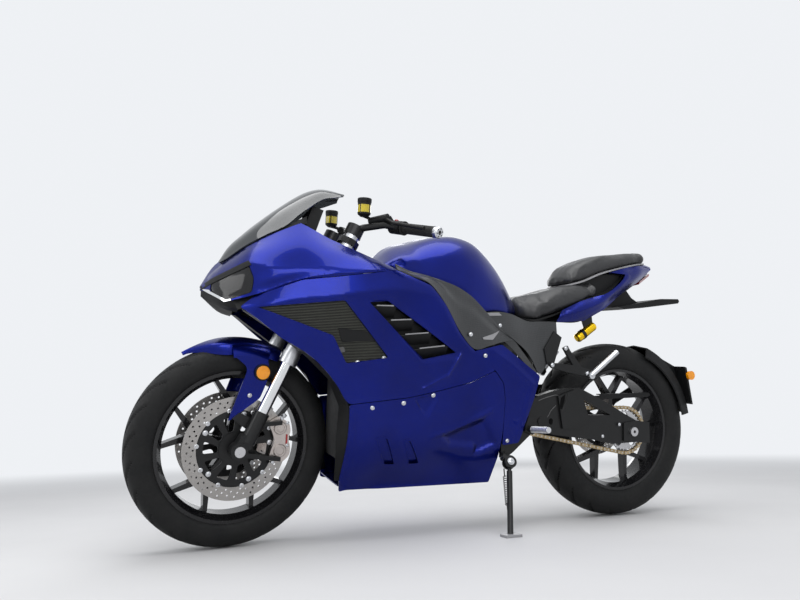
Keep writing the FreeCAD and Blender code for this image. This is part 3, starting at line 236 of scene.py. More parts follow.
M = {
    "blue_paint": paint(),
    "black_frame": surface("black_frame", (0.0075, 0.0078, 0.0082), 0.4, 0.0, 0.25, 0.3),
    "black_plastic": surface("black_plastic", (0.008, 0.0083, 0.0088), 0.5, grain=1500, grain_strength=0.4),
    "gloss_black": surface("gloss_black", (0.012, 0.012, 0.013), 0.22, 0.0, 0.9, 0.04, grain_strength=0.04),
    "dark_trim": weave("dark_trim"),
    "smoke_screen": smoked("smoke_screen", (0.045, 0.05, 0.054), 0.03, 0.38),
    "smoked_lens": smoked("smoked_lens", (0.04, 0.041, 0.043), 0.06, 0.7, 0.05, 0.25),
    "seat_cover": leather("seat_cover", (0.019, 0.0195, 0.021), 0.42),
    "pillion_cover": leather("pillion_cover", (0.023, 0.0235, 0.025), 0.4),
    "tyre": rubber_tyre(),
    "wheel": surface("wheel", (0.008, 0.008, 0.009), 0.25, 0.0, 0.5, 0.06, grain_strength=0.05),
    "steel": surface("steel", (0.55, 0.55, 0.56), 0.3, 1.0, grain=500, grain_strength=0.2),
    "chrome": surface("chrome", (0.78, 0.79, 0.8), 0.08, 1.0, vary=0.04, rough_vary=0.03,
                      grain_strength=0.04),
    "silver": surface("silver", (0.6, 0.61, 0.63), 0.32, 1.0, grain_strength=0.3),
    "gold": surface("gold", (0.92, 0.59, 0.02), 0.25, 0.9, vary=0.05),
    "chain_gold": surface("chain_gold", (0.42, 0.33, 0.2), 0.36, 1.0, vary=0.25, patch=60),
    "caliper": surface("caliper", (0.52, 0.47, 0.44), 0.3, 1.0, grain_strength=0.3),
    "rubber": surface("rubber", (0.018, 0.018, 0.018), 0.6, grain=1200, grain_strength=0.4),
    "amber": surface("amber", (1.0, 0.33, 0.0), 0.12, 0.0, 1.0, 0.03, patch=60, grain=420, grain_depth=0.0006,
                     grain_strength=0.5),
    "red_lens": surface("red_lens", (0.32, 0.006, 0.008), 0.12, 0.0, 1.0, 0.03, patch=60, grain=420,
                        grain_depth=0.0005, grain_strength=0.5),
    "yellow_fluid": surface("yellow_fluid", (0.58, 0.46, 0.018), 0.12, 0.0, 1.0, 0.03, patch=30,
                            grain_strength=0.05),
    "battery_case": surface("battery_case", (0.02, 0.02, 0.021), 0.6),
    # Near-black rubber for the groove floors of the tyres and the swingarm hollows: painted shade in these
    # recesses
    "painted_recess_shade": surface("painted_recess_shade", (0.0015, 0.0015, 0.0016), 0.8, spec=0.1),
    "mesh_lines": surface("mesh_lines", (0.07, 0.072, 0.06), 0.45),
    "grey_tab": surface("grey_tab", (0.10, 0.10, 0.10), 0.5),
    "grey_edge": surface("grey_edge", (0.30, 0.30, 0.31), 0.4),
    "disc_steel": surface("disc_steel", (0.38, 0.365, 0.35), 0.34, 1.0, vary=0.06, patch=22),
}

SLOT_OF = {s["node"]: s["material_slot"] for s in frame["record"]["subparts"]}
for name, obj in nodes.items():
    for s in obj.material_slots:
        s.material = M[SLOT_OF[name]]
    if not obj.material_slots:
        obj.data.materials.append(M[SLOT_OF[name]])


# Floor, light and camera

PALE = (0.86, 0.88, 0.91, 1)


def combined(t, operation, a, b):
    n = node(t, "Math")
    n.operation = operation
    return feed(t, n, a, b)


def direct_rays(t):
    """1 for rays from the camera, off metal and through glass."""
    path = node(t, "LightPath").outputs
    seen = combined(t, "MAXIMUM", path["Is Camera Ray"], path["Is Glossy Ray"])
    return combined(t, "MAXIMUM", seen, path["Is Transmission Ray"])


def far_edge(t, b):
    """The floor turns into the pale background a few metres out."""
    far = node(t, "VectorMath")
    far.operation = "LENGTH"
    feed(t, far, here(t))
    fade = node(t, "MapRange", From_Min=2.2, From_Max=7.0, Value=far.outputs["Value"])
    fade.interpolation_type = "SMOOTHSTEP"
    both = combined(t, "MULTIPLY", fade.outputs["Result"], direct_rays(t))
    glow = node(t, "Emission", Color=PALE)
    mix = feed(t, node(t, "MixShader", Fac=both), b.outputs[0], glow.outputs[0], first=1)
    fit(t, t.nodes["Material Output"], Surface=mix)


def floor():
    bpy.ops.mesh.primitive_plane_add(size=40.0)
    o = bpy.context.object
    o.name = "floor"
    m, t, b = new_material("floor_pale")
    fit(t, b, Base_Color=ramp(t, noise(t, 1.2, 4.0), (0.60, 0.60, 0.605), (0.64, 0.64, 0.645)), Roughness=0.8)
    far_edge(t, b)
    bump(t, b, noise(t, 240.0, 4.0), 0.2, 0.0008)
    o.data.materials.append(m)


def world():
    w = bpy.data.worlds.new("studio")
    scene.world = w
    w.use_nodes = True
    t = w.node_tree
    light = fit(t, t.nodes["Background"], Color=(0.78, 0.80, 0.84, 1), Strength=0.55)
    seen = node(t, "Background", Color=PALE, Strength=1.0)
    mix = node(t, "MixShader", Fac=direct_rays(t))
    fit(t, t.nodes["World Output"], Surface=feed(t, mix, light.outputs[0], seen.outputs[0], first=1))


def lamp(name, at, look, size, power):
    d = bpy.data.lights.new(name, "AREA")
    d.shape = "RECTANGLE"
    d.size, d.size_y = size
    d.energy = power
    o = bpy.data.objects.new(name, d)
    scene.collection.objects.link(o)
    o.location = at
    o.rotation_mode = "QUATERNION"
    o.rotation_quaternion = (Vector(at) - Vector(look)).to_track_quat("Z", "Y")


def camera():
    """Low and close to the left front, as the photograph was taken."""
    sensor_mm, focal_px, photo_px = 36.0, 604.6, 800.0
    d = bpy.data.cameras.new("camera")
    o = bpy.data.objects.new("camera", d)
    scene.collection.objects.link(o)
    d.sensor_width = sensor_mm
    d.lens = sensor_mm * focal_px / photo_px
    d.clip_end = 100.0
    yaw, pitch, roll = (math.radians(a) for a in (-21.24, 12.77, -1.52))
    ahead = Vector((math.sin(yaw) * math.cos(pitch), -math.cos(yaw) * math.cos(pitch), math.sin(pitch)))
    o.location = (0.8962, 1.8265, 0.2987)
    o.rotation_mode = "QUATERNION"
    o.rotation_quaternion = ahead.to_track_quat("-Z", "Y")
    o.rotation_quaternion = o.rotation_quaternion @ Matrix.Rotation(roll, 3, "Z").to_quaternion()
    scene.camera = o


floor()
world()
lamp("top", (0.3, 0.6, 3.4), (0, 0, 0.4), (4.0, 2.6), 95)
lamp("left", (1.2, 3.6, 2.0), (0, 0, 0.5), (2.6, 1.8), 50)
lamp("right", (-1.4, -3.4, 1.8), (0, 0, 0.5), (2.6, 1.8), 38)
lamp("front", (3.6, 0.4, 1.5), (0.2, 0, 0.6), (1.6, 1.6), 22)
camera()


# Shapes. Points are millimetres on the upright bike.

class Shape:
    """Vertices, faces and a material number per face."""

    def __init__(self):
        self.v, self.f, self.m = [], [], []

    def put(self, verts, faces, mat=0, flip=False):
        base = len(self.v)
        self.v += [tuple(map(float, p)) for p in verts]
        for f in faces:
            g = [int(i) + base for i in f]
            self.f.append(g[::-1] if flip else g)
            self.m.append(mat)
        return self

    def pair(self, verts, faces, mat=0):
        """The piece on the left and its mirror image on the right."""
        self.put(verts, faces, mat)
        return self.put([(p[0], -p[1], p[2]) for p in verts], faces, mat, True)

    def side(self, outline, skin, wall, depth=0.0, mat=0, **more):
        """A panel cut from a skin, on both sides."""
        return self.pair(*panel(outline, skin, wall, depth, **more), mat)


def piece(name, shape, mats, body="chassis", replace=(), angle=32.0, edge=0.0, segments=2):
    """Mesh object of a shape on its body, with its materials in the given order."""
    me = bpy.data.meshes.new(name)
    me.from_pydata(shape.v, [], shape.f)
    me.transform(BODY_MATRIX[body])
    for m in mats:
        me.materials.append(M[m])
    me.polygons.foreach_set("material_index", shape.m)
    bm = bmesh.new()
    bm.from_mesh(me)
    bmesh.ops.remove_doubles(bm, verts=bm.verts, dist=MERGE_M)
    bmesh.ops.recalc_face_normals(bm, faces=bm.faces)
    bm.to_mesh(me)
    bm.free()
    o = bpy.data.objects.new(name, me)
    scene.collection.objects.link(o)
    if edge:
        soften(o, edge, segments)
    smooth_by_angle(me, angle)
    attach(o, body)
    if replace:
        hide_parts(*replace)
    return o


def soften(o, width, segments=2):
    b = o.modifiers.new("edge", "BEVEL")
    b.width = width * MM
    b.segments = segments
    b.limit_method = "ANGLE"
    b.angle_limit = math.radians(35.0)
    b.use_clamp_overlap = True


def smooth_by_angle(mesh, degrees=28.0):
    for p in mesh.polygons:
        p.use_smooth = True
    mesh.set_sharp_from_angle(angle=math.radians(degrees))


def spline(ts, pts, t, breaks=()):
    """Smooth curve through pts at ts, read at t. It keeps a corner at each number in breaks."""
    ts, t = np.asarray(ts, float), np.asarray(t, float)
    p = np.asarray(pts, float)
    tail = p.shape[1:]
    p = p.reshape(len(ts), -1)
    h = np.diff(ts)
    d = np.diff(p, axis=0) / h[:, None]
    before, after = np.empty_like(p), np.empty_like(p)
    before[0], after[0], before[-1], after[-1] = d[0], d[0], d[-1], d[-1]
    for i in range(1, len(ts) - 1):
        if i in breaks:
            before[i], after[i] = d[i - 1], d[i]
        else:
            before[i] = after[i] = (h[i - 1] * d[i] + h[i] * d[i - 1]) / (h[i - 1] + h[i])
    j = np.clip(np.searchsorted(ts, t, "right") - 1, 0, len(ts) - 2)
    s = ((t - ts[j]) / h[j])[:, None]
    hj = h[j][:, None]
    out = ((2 * s ** 3 - 3 * s ** 2 + 1) * p[j] + (s ** 3 - 2 * s ** 2 + s) * hj * after[j]
           + (3 * s ** 2 - 2 * s ** 3) * p[j + 1] + (s ** 3 - s ** 2) * hj * before[j + 1])
    return out.reshape((len(t),) + tail)


def surface_grid(rows, nu, nv, breaks=()):
    """Grid (nu, nv, 3) through rows of (x, [(y, z), ...])."""
    a = np.array([[(x, y, z) for y, z in pts] for x, pts in rows], float)
    ts = np.concatenate([[0], np.cumsum(np.abs(np.diff(a[:, 0, 0])))])
    b = spline(ts, a, np.linspace(0, ts[-1], nu))
    step = np.linalg.norm(np.diff(a, axis=1), axis=2).mean(axis=0) + 1e-6
    tv = np.concatenate([[0], np.cumsum(step)])
    c = spline(tv, b.transpose(1, 0, 2), np.linspace(0, tv[-1], nv), breaks)
    return c.transpose(1, 0, 2)


def grid_faces(nu, nv, closed=False):
    faces = []
    last = nv if closed else nv - 1
    for i in range(nu - 1):
        for j in range(last):
            k = (j + 1) % nv
            faces.append((i * nv + j, i * nv + k, (i + 1) * nv + k, (i + 1) * nv + j))
    return faces


def grid_normals(g):
    n = np.cross(np.gradient(g, axis=0), np.gradient(g, axis=1))
    return n / (np.linalg.norm(n, axis=2, keepdims=True) + 1e-9)


def sheet(front, back, faces):
    """Closed body between a sheet of faces and a copy of it."""
    n = len(front)
    turned = [tuple(i + n for i in f[::-1]) for f in faces]
    return list(front) + list(back), faces + turned + rim_walls(faces, n)


def shell(g, wall):
    """Closed sheet of a grid, thickened along its normals."""
    inner = g - grid_normals(g) * wall
    return sheet(g.reshape(-1, 3), inner.reshape(-1, 3), grid_faces(*g.shape[:2]))


def rim_walls(faces, n):
    """Walls between the open edges of a sheet and the same edges of its copy, n vertices on."""
    seen = {}
    for f in faces:
        for a, b in zip(f, f[1:] + f[:1]):
            seen[(a, b)] = seen.get((a, b), 0) + 1
    return [(b, a, a + n, b + n) for (a, b) in seen if (b, a) not in seen]


def body_of_rows(rows, nu, nv, breaks=()):
    """Closed solid through rows that give the left half from the top middle to the bottom middle."""
    g = surface_grid(rows, nu, nv, breaks)
    right = g[:, 1:-1][:, ::-1] * np.array([1, -1, 1])
    ring = np.concatenate([g, right], axis=1)
    k = ring.shape[1]
    faces = grid_faces(nu, k, True)
    faces += [tuple(range(k)), tuple(range((nu - 1) * k, nu * k))[::-1]]
    return ring.reshape(-1, 3), faces


def resample(loop, step, closed):
    loop = [np.array(p, float) for p in loop]
    out = []
    for a, b in zip(loop, loop[1:] + (loop[:1] if closed else [])):
        n = max(1, int(math.ceil(np.linalg.norm(b - a) / step)))
        out += [a + (b - a) * i / n for i in range(n)]
    return out if closed else out + [loop[-1]]


def rounded(loop, radius, steps=4):
    """Outline with each corner cut back and bowed."""
    out = []
    n = len(loop)
    for i in range(n):
        p, a, b = (np.array(loop[k % n], float) for k in (i, i - 1, i + 1))
        la, lb = np.linalg.norm(a - p), np.linalg.norm(b - p)
        s, e = p + (a - p) * min(radius, la * 0.4) / la, p + (b - p) * min(radius, lb * 0.4) / lb
        for j in range(steps + 1):
            t = j / steps
            out.append((1 - t) ** 2 * s + 2 * t * (1 - t) * p + t * t * e)
    return out


def within(pts, loop):
    loop = np.asarray(loop, float)
    x, y = pts[:, 0], pts[:, 1]
    inside = np.zeros(len(pts), bool)
    for (x0, y0), (x1, y1) in zip(loop, np.roll(loop, -1, axis=0)):
        if y0 == y1:
            continue
        hit = (y0 > y) != (y1 > y)
        inside ^= hit & (x < (x1 - x0) * (y - y0) / (y1 - y0) + x0)
    return inside


def off_edge(pts, loop, closed=True):
    """Distance of each point from a line of points."""
    loop = np.asarray(loop, float)
    best = np.full(len(pts), 1e9)
    ends = np.roll(loop, -1, axis=0) if closed else loop[1:]
    for a, b in zip(loop, ends):
        ab = b - a
        t = np.clip(((pts - a) @ ab) / (ab @ ab + 1e-9), 0, 1)
        best = np.minimum(best, np.linalg.norm(pts - a - t[:, None] * ab, axis=1))
    return best


def fill(outline, holes, lines, step, edge_step=None):
    """Triangles over a flat outline with holes, with edges along the lines."""
    edge_step = edge_step or step
    row_share, clear_share = 0.87, 0.55
    pts, edges = [], []
    for loop, closed in [(outline, True)] + [(h, True) for h in holes] + [(s, False) for s in lines]:
        r = resample(loop, edge_step, closed)
        base = len(pts)
        pts += r
        count = len(r)
        edges += [(base + i, base + (i + 1) % count) for i in range(count if closed else count - 1)]
    ring = np.array(pts)
    low, high = ring.min(axis=0), ring.max(axis=0)
    xs = np.arange(low[0], high[0], step)
    ys = np.arange(low[1], high[1], step * row_share)
    gx, gy = np.meshgrid(xs, ys)
    gx = gx + (np.arange(len(ys)) % 2)[:, None] * step / 2
    inner = np.stack([gx.ravel(), gy.ravel()], axis=1)
    inner = inner[within(inner, outline)]
    for h in holes:
        inner = inner[~within(inner, h)]
    if len(inner):
        near = np.min(np.linalg.norm(inner[:, None] - ring[None], axis=2), axis=1)
        inner = inner[near > step * clear_share]
    every = [Vector(p) for p in pts] + [Vector(p) for p in inner]
    res = delaunay_2d_cdt(every, edges, [], 0, 1e-4)
    v = np.array([tuple(p) for p in res[0]])
    f = np.array(res[2])
    mid = v[f].mean(axis=1)
    keep = within(mid, outline)
    for h in holes:
        keep &= ~within(mid, h)
    return v, [tuple(int(i) for i in t) for t in f[keep]]


class Skin:
    """Side skin of the bike: y over (x, z), through rows of (x, [(y, z), ...]) from the top down."""

    COLUMNS, LEVELS = 160, 220

    def __init__(self, rows, breaks=()):
        rows = sorted(rows, key=lambda r: r[0])
        self.x = np.linspace(rows[0][0], rows[-1][0], self.COLUMNS)
        self.g = surface_grid(rows, self.COLUMNS, self.LEVELS, breaks)

    def y(self, x, z):
        x, z = np.asarray(x, float), np.asarray(z, float)
        f = np.clip((x - self.x[0]) / (self.x[1] - self.x[0]), 0, len(self.x) - 1.001)
        i = f.astype(int)
        out = np.empty(len(x))
        for k in np.unique(i):
            m = i == k
            t = f[m] - k
            ya, yb = (np.interp(z[m], self.g[c, ::-1, 2], self.g[c, ::-1, 1]) for c in (k, k + 1))
            out[m] = ya * (1 - t) + yb * t
        return out

    def at(self, x, z):
        return float(self.y([x], [z])[0])


def panel(outline, skin, wall, depth, holes=(), lines=(), step=9.0, form=None, edge_step=None):
    """Side panel cut from a skin, below it by depth; form(v) moves its face outward."""
    v, f = fill(outline, holes, lines, step, edge_step)
    y = skin.y(v[:, 0], v[:, 1]) - depth
    if form:
        y = y + form(v)
    return sheet([(p[0], q, p[1]) for p, q in zip(v, y)], [(p[0], q - wall, p[1]) for p, q in zip(v, y)], f)


def plate(outline, y0, y1, step, edge_step, holes=()):
    """Flat plate across the bike from y0 to y1, with holes."""
    v, f = fill(outline, holes, (), step, edge_step)
    return sheet([(x, y1, z) for x, z in v], [(x, y0, z) for x, z in v], f)


def circle(x, z, r, n=16, start=0.0):
    return [(x + r * math.cos(start + 2 * math.pi * i / n), z + r * math.sin(start + 2 * math.pi * i / n))
            for i in range(n)]


def around(axis, a):
    """Unit vector square to an axis, at an angle about it."""
    u = axis.orthogonal().normalized()
    return u * math.cos(a) + axis.cross(u) * math.sin(a)


def lathe(profile, at, axis=(0, 1, 0), n=24):
    """Closed turned piece: profile of (along, radius) from at, along axis."""
    axis = Vector(axis).normalized()
    at = Vector(at)
    verts, faces, k = [], [], len(profile)
    for i in range(n):
        d = around(axis, 2 * math.pi * i / n)
        verts += [tuple(at + axis * s + d * r) for s, r in profile]
        j = (i + 1) % n
        faces += [(i * k + q, j * k + q, j * k + q + 1, i * k + q + 1) for q in range(k - 1)]
    faces.append([i * k for i in range(n)][::-1])
    faces.append([i * k + k - 1 for i in range(n)])
    return verts, faces


def tube(path, radius, n):
    """Round bar along a smooth path of points."""
    p = [Vector(q) for q in path]
    m = len(p)
    verts, normal = [], None
    for i in range(m):
        t = (p[min(i + 1, m - 1)] - p[max(i - 1, 0)]).normalized()
        normal = t.orthogonal() if normal is None else normal - t * normal.dot(t)
        normal.normalize()
        w = t.cross(normal)
        for j in range(n):
            a = 2 * math.pi * j / n
            verts.append(tuple(p[i] + (normal * math.cos(a) + w * math.sin(a)) * radius))
    return verts, grid_faces(m, n, True) + [tuple(range(n)), tuple(range((m - 1) * n, m * n))[::-1]]


def along(points, count):
    """Points evenly spread on a smooth line through a few."""
    p = np.array(points, float)
    ts = np.concatenate([[0], np.cumsum(np.linalg.norm(np.diff(p, axis=0), axis=1))])
    return spline(ts, p, np.linspace(0, ts[-1], count))


def smoothstep(t):
    t = np.clip(t, 0, 1)
    return t * t * (3 - 2 * t)


def dent(v, loop, depth, soft):
    """Inward push of the points inside a loop, over a soft edge."""
    return -depth * smoothstep(off_edge(v, loop) / soft) * within(v, loop)


def ridge(v, line, height, width):
    return height * np.exp(-(off_edge(v, line, False) / width) ** 2)


def shrunk(loop, factor):
    mid = np.mean(np.array(loop, float), axis=0)
    return [tuple(mid + (np.array(p) - mid) * factor) for p in loop]


# Tables. A flank row is x and (y, z) points from the top down; the second point is the shoulder.

FLANK = [
    (1400, [(132, 716), (146, 690), (148, 668), (146, 640), (144, 600), (140, 560)]),
    (1330, [(176, 736), (196, 697), (190, 650), (184, 600), (178, 540), (172, 480)]),
    (1250, [(204, 768), (217, 714), (206, 640), (199, 560), (190, 500), (180, 440)]),
    (1130, [(224, 790), (234, 729), (216, 620), (201, 490), (190, 400), (172, 300)]),
    (1060, [(228, 800), (238, 743), (219, 600), (192, 425), (178, 300), (105, 174)]),
    (940, [(216, 822), (236, 762), (215, 590), (199, 440), (184, 300), (105, 170.8)]),
    (840, [(222, 790), (228, 755), (215, 590), (199, 455), (184, 300), (105, 168.2)]),
    (700, [(206, 760), (208, 720), (197, 590), (187, 485), (174, 330), (105, 164.5)]),
    (540, [(180, 760), (184, 700), (178, 580), (172, 470), (160, 310), (105, 160.2)])]
SPLIT = [(590, 525), (678, 488), (777, 465), (891, 442), (1072, 422)]
FAIRING = [(1387, 690), (1351, 721), (1312, 736), (1274, 751), (1226, 770), (1133, 783), (1029, 801),
           (946, 818), (835, 777), (783, 722), (728, 641), (673, 588)] + SPLIT + [
           (1089, 438), (1109, 471), (1138, 507), (1174, 543), (1211, 570), (1278, 607), (1349, 663)]
BELLY = SPLIT + [(1071, 388), (1077, 161), (569, 161), (556, 246), (548, 434), (556, 483)]
SLOTS = [[(987, 320), (955, 325), (917, 239), (948, 240)], [(900, 312), (882, 316), (838, 240), (870, 238)]]
MESH = [(1346, 690), (1106, 719), (962, 557), (1090, 538), (1133, 617)]
GILLS = [(1036, 717), (978, 724), (738, 577), (853, 554)]
SCOOP = [(787, 324), (612, 384), (564, 288), (646, 251), (654, 281), (740, 289)]
NOTCH = [(876, 438), (782, 460), (831, 373)]
CREASE = [(847, 470), (764, 508), (723, 573)]
COVER = [(668, 584), (563, 608), (409, 508), (433, 432), (467, 349), (488, 292), (550, 286), (544, 434),
         (552, 484), (586, 524)]
COVER_ROWS = [
    (690, [(186, 640), (186, 560), (178, 470), (164, 300), (152, 180)]),
    (560, [(172, 640), (174, 560), (168, 470), (158, 300), (150, 180)]),
    (400, [(156, 640), (158, 560), (158, 470), (152, 300), (148, 180)])]

# Nose rows: x, top, ridge and low edge as (y, z).
NOSE = [
    (1486, (4, 760), (10, 752), (14, 742)), (1462, (22, 794), (60, 768), (62, 738)),
    (1421, (40, 834), (106, 790), (120, 706)), (1369, (82, 872), (150, 816), (166, 719)),
    (1315, (100, 905), (184, 800), (184, 736)), (1219, (119, 951), (208, 800), (206, 773)),
    (1133, (146, 905), (222, 806), (222, 785)), (1029, (178, 860), (228, 811), (226, 803)),
    (946, (200, 824), (208, 822), (214, 819))]
LAMP = [(1462, 766), (1369, 815), (1354, 769), (1358, 731), (1421, 708), (1464, 738)]
BEAK = [
    (1489, [(0, 758), (6, 756), (10, 746), (0, 742)]), (1462, [(0, 808), (24, 792), (58, 766), (0, 760)]),
    (1442, [(0, 832), (34, 812), (84, 778), (0, 772)]), (1420, [(0, 842), (38, 830), (100, 786), (0, 780)])]
CHIN = [
    (1486, [(0, 744), (12, 742), (10, 734), (0, 732)]), (1421, [(0, 712), (118, 706), (112, 694), (0, 700)]),
    (1390, [(0, 706), (134, 702), (128, 688), (0, 694)])]

# Screen rows: x, crown z, then the middle and the edge as (y, z).
SCREEN = [
    (1440, 836, (16, 834), (26, 828)), (1423, 868, (26, 858), (44, 838)), (1376, 922, (50, 906), (78, 874)),
    (1316, 978, (64, 956), (101, 911)), (1253, 1030, (70, 1004), (114, 948)),
    (1227, 1050, (70, 1024), (114, 974)), (1190, 1074, (68, 1048), (104, 1006)),
    (1145, 1090, (62, 1070), (86, 1040)), (1105, 1090, (52, 1074), (68, 1054)),
    (1068, 1082, (36, 1076), (46, 1068))]

# Tank rows: x, crown z, three (y, z) points outward and down, floor z.
TANK = [
    (968, 868, (60, 862), (120, 848), (150, 836), 828), (930, 908, (82, 894), (155, 861), (174, 836), 800),
    (850, 942, (100, 920), (163, 873), (178, 820), 785), (760, 968, (112, 946), (170, 884), (177, 798), 776),
    (690, 974, (110, 950), (164, 878), (171, 770), 758), (630, 958, (104, 934), (150, 852), (158, 722), 712),
    (563, 912, (88, 888), (126, 812), (138, 722), 708), (503, 848, (66, 832), (100, 776), (114, 722), 706),
    (452, 766, (50, 760), (66, 742), (74, 722), 706)]
TRIM = [
    (942, [(190, 840), (204, 826), (210, 820)]), (900, [(188, 824), (204, 810), (218, 806)]),
    (833, [(188, 812), (206, 800), (219, 779)]), (783, [(186, 800), (202, 770), (214, 724)]),
    (728, [(182, 784), (196, 720), (204, 643)]), (673, [(176, 756), (188, 700), (192, 592)]),
    (612, [(168, 706), (178, 660), (180, 602)]), (563, [(158, 664), (162, 640), (164, 614)]),
    (512, [(150, 630), (151, 627), (151, 624)])]
SEAT_TRIM = [
    (620, [(156, 710), (154, 706), (153, 702)]), (560, [(146, 716), (150, 680), (151, 664)]),
    (510, [(136, 712), (146, 670), (150, 630)]), (420, [(120, 690), (126, 660), (130, 560)]),
    (391, [(118, 692), (122, 660), (125, 516)]), (316, [(118, 694), (121, 670), (124, 641)])]

# Seat rows: x, top z, shoulder and side as (y, z), low z.
RIDER = [
    (448, 756, (44, 752), (66, 728), 712), (415, 772, (84, 764), (112, 722), 700),
    (352, 790, (100, 778), (120, 734), 712), (259, 818, (98, 806), (114, 762), 744),
    (157, 842, (82, 828), (102, 804), 790), (116, 846, (60, 834), (80, 824), 808)]
PILLION = [
    (228, 868, (48, 862), (70, 848), 836), (210, 894, (64, 882), (84, 854), 842),
    (177, 914, (74, 900), (88, 868), 852), (100, 944, (76, 930), (88, 902), 884),
    (7, 960, (74, 948), (82, 928), 912), (-100, 974, (56, 964), (62, 950), 938),
    (-148, 970, (36, 962), (40, 954), 946)]
TAIL = [
    (320, [(128, 712), (131, 706), (128, 698), (122, 690)]),
    (206, [(108, 772), (124, 750), (116, 720), (102, 699)]),
    (110, [(90, 812), (110, 790), (106, 765), (94, 742)]), (43, [(84, 872), (96, 850), (98, 820), (80, 784)]),
    (0, [(80, 900), (90, 880), (92, 845), (70, 806)]), (-60, [(66, 916), (76, 898), (76, 868), (56, 840)]),
    (-106, [(54, 930), (62, 914), (60, 890), (42, 864)]),
    (-160, [(30, 934), (36, 924), (32, 908), (22, 892)]),
    (-200, [(12, 937), (15, 928), (12, 920), (8, 914)])]


# Bodywork

def near(loop, factor, radius):
    """A loop made smaller or larger about its middle, with rounded corners."""
    return rounded(shrunk(loop, factor), radius)


def tangent_grid(rows, bulge):
    """Rows with a bowed middle point put between each two, so that the sections are rounded."""
    out = []
    for x, pts in rows:
        p = [pts[0]]
        for a, b in zip(pts, pts[1:]):
            dy, dz = b[0] - a[0], b[1] - a[1]
            p += [((a[0] + b[0]) / 2 - dz * bulge, (a[1] + b[1]) / 2 + dy * bulge), b]
        out.append((x, p))
    return out


def bolt(at, r, h, axis=(0, 1, 0)):
    """Button-head screw with a socket."""
    return lathe([(0, r * 1.25), (0.8, r * 1.25), (0.8, r), (h * 0.6, r * 0.95), (h, r * 0.55), (h, r * 0.45),
                  (h * 0.5, r * 0.45)], at, axis, 14)


SHOULDER = [(x, pts[1][1]) for x, pts in FLANK]
flank = Skin(FLANK, (1,))
cover_skin = Skin(COVER_ROWS)


def side_bodywork():
    """Fairing with its lips, belly with its slots, and the spar covers."""
    openings = [rounded(MESH, 7), rounded(GILLS, 5)]

    def fair_form(v):
        y = dent(v, [(1050, 733), (968, 742), (716, 566), (742, 556), (856, 538), (868, 550)], 4.0, 16.0)
        y -= 3.2 * (1 - smoothstep(off_edge(v, FAIRING[7:12], False) / 9.0))
        y += 1.6 * (1 - smoothstep(off_edge(v, SPLIT, False) / 14.0))
        return y + ridge(v, CREASE, 3.6, 4.0)

    shape = Shape().side(rounded(FAIRING, 8), flank, 4.0, holes=openings, lines=[CREASE, SHOULDER], step=8.0,
                         form=fair_form)
    piece("fairing", shape, ["blue_paint"], replace=["side_fairings"], angle=30, edge=1.1)
    lips = Shape()
    for loop in openings:
        lips.side(loop, flank, 9.0, 0.6, holes=[shrunk(loop, 0.985)], step=12.0)
    piece("fairing_opening_lips", lips, ["blue_paint"], edge=0.8)

    notch, scoop = rounded(NOTCH, 3), rounded(SCOOP, 4)

    def belly_form(v):
        y = dent(v, scoop, 15.0, 22.0) + dent(v, notch, 5.0, 6.0)
        y += ridge(v, [(812, 322), (700, 356), (600, 398)], 4.5, 7.0)
        return y + ridge(v, [(1060, 400), (1052, 172)], 2.5, 6.0)

    belly = rounded([(x, z - 2.2) for x, z in SPLIT] + BELLY[5:], 8)
    shape = Shape().side(belly, flank, 4.0, holes=[rounded(s, 4) for s in SLOTS],
                         lines=[scoop + scoop[:1], notch + notch[:1]], step=8.0, form=belly_form)
    across = [(104, 0.2), (52, -0.6), (0, -0.8), (-52, -0.6), (-104, 0.2)]
    deck = [(x, [(y, z + lift) for y, lift in across])
            for x, z in ((1077, 174.4), (940, 170.8), (840, 168.2), (700, 164.5), (569, 161))]
    shape.put(*shell(surface_grid(deck, 30, 17)[::-1], 3.5))
    piece("belly", shape, ["blue_paint"], replace=["belly_pan"], angle=30, edge=1.1)
    pockets = Shape()
    for s in SLOTS:
        pockets.side(near(s, 1.05, 4), flank, 2.0, 9.0, step=12.0)
        pockets.side(near(s, 1.10, 4), flank, 9.0, -1.4, holes=[near(s, 0.95, 4)], step=12.0)
    piece("belly_slot_liners", pockets, ["blue_paint"], edge=0.8)

    crease = [(600, 590), (520, 540), (440, 480), (486, 320)]
    shape = Shape().side(rounded(COVER, 8), cover_skin, 3.5, -2.0,
                         lines=[[(560, 560), (470, 480), (500, 330)]],
                         form=lambda v: ridge(v, crease, 3.0, 9.0))
    piece("spar_cover", shape, ["blue_paint"], replace=["spar_covers"], edge=1.0)


def mesh():
    """Fine level bars behind the side opening, with the two tabs that cross them."""
    shape = Shape().side(near(MESH, 1.03, 8), flank, 2.0, 9.0, step=14.0)
    levels = [p[1] for p in MESH]
    z = min(levels) + 2
    while z < max(levels) - 2:
        xs = sorted(mesh_line(MESH, z))
        if len(xs) >= 2 and xs[-1] - xs[0] > 8:
            n = max(2, int((xs[-1] - xs[0]) / 16))
            line = np.linspace(xs[0] + 1, xs[-1] - 1, n)
            v = [(x, y + dy, z + dz) for x, y in zip(line, flank.y(line, np.full(n, z)) - 6.6)
                 for dy, dz in ((-2, -1.0), (0, -0.7), (0, 0.7), (-2, 1.0))]
            shape.pair(v, grid_faces(n, 4, True), 1)
        z += 4.4
    shape.side(rounded([(1120, 640), (1000, 628), (968, 608), (1106, 600)], 4), flank, 3.0, 4.5)
    shape.side(rounded([(1126, 584), (1100, 586), (1096, 572), (1120, 566)], 3), flank, 4.0, 1.5, 2)
    piece("vent_mesh", shape, ["black_plastic", "mesh_lines", "grey_tab"], replace=["vent_grilles"])


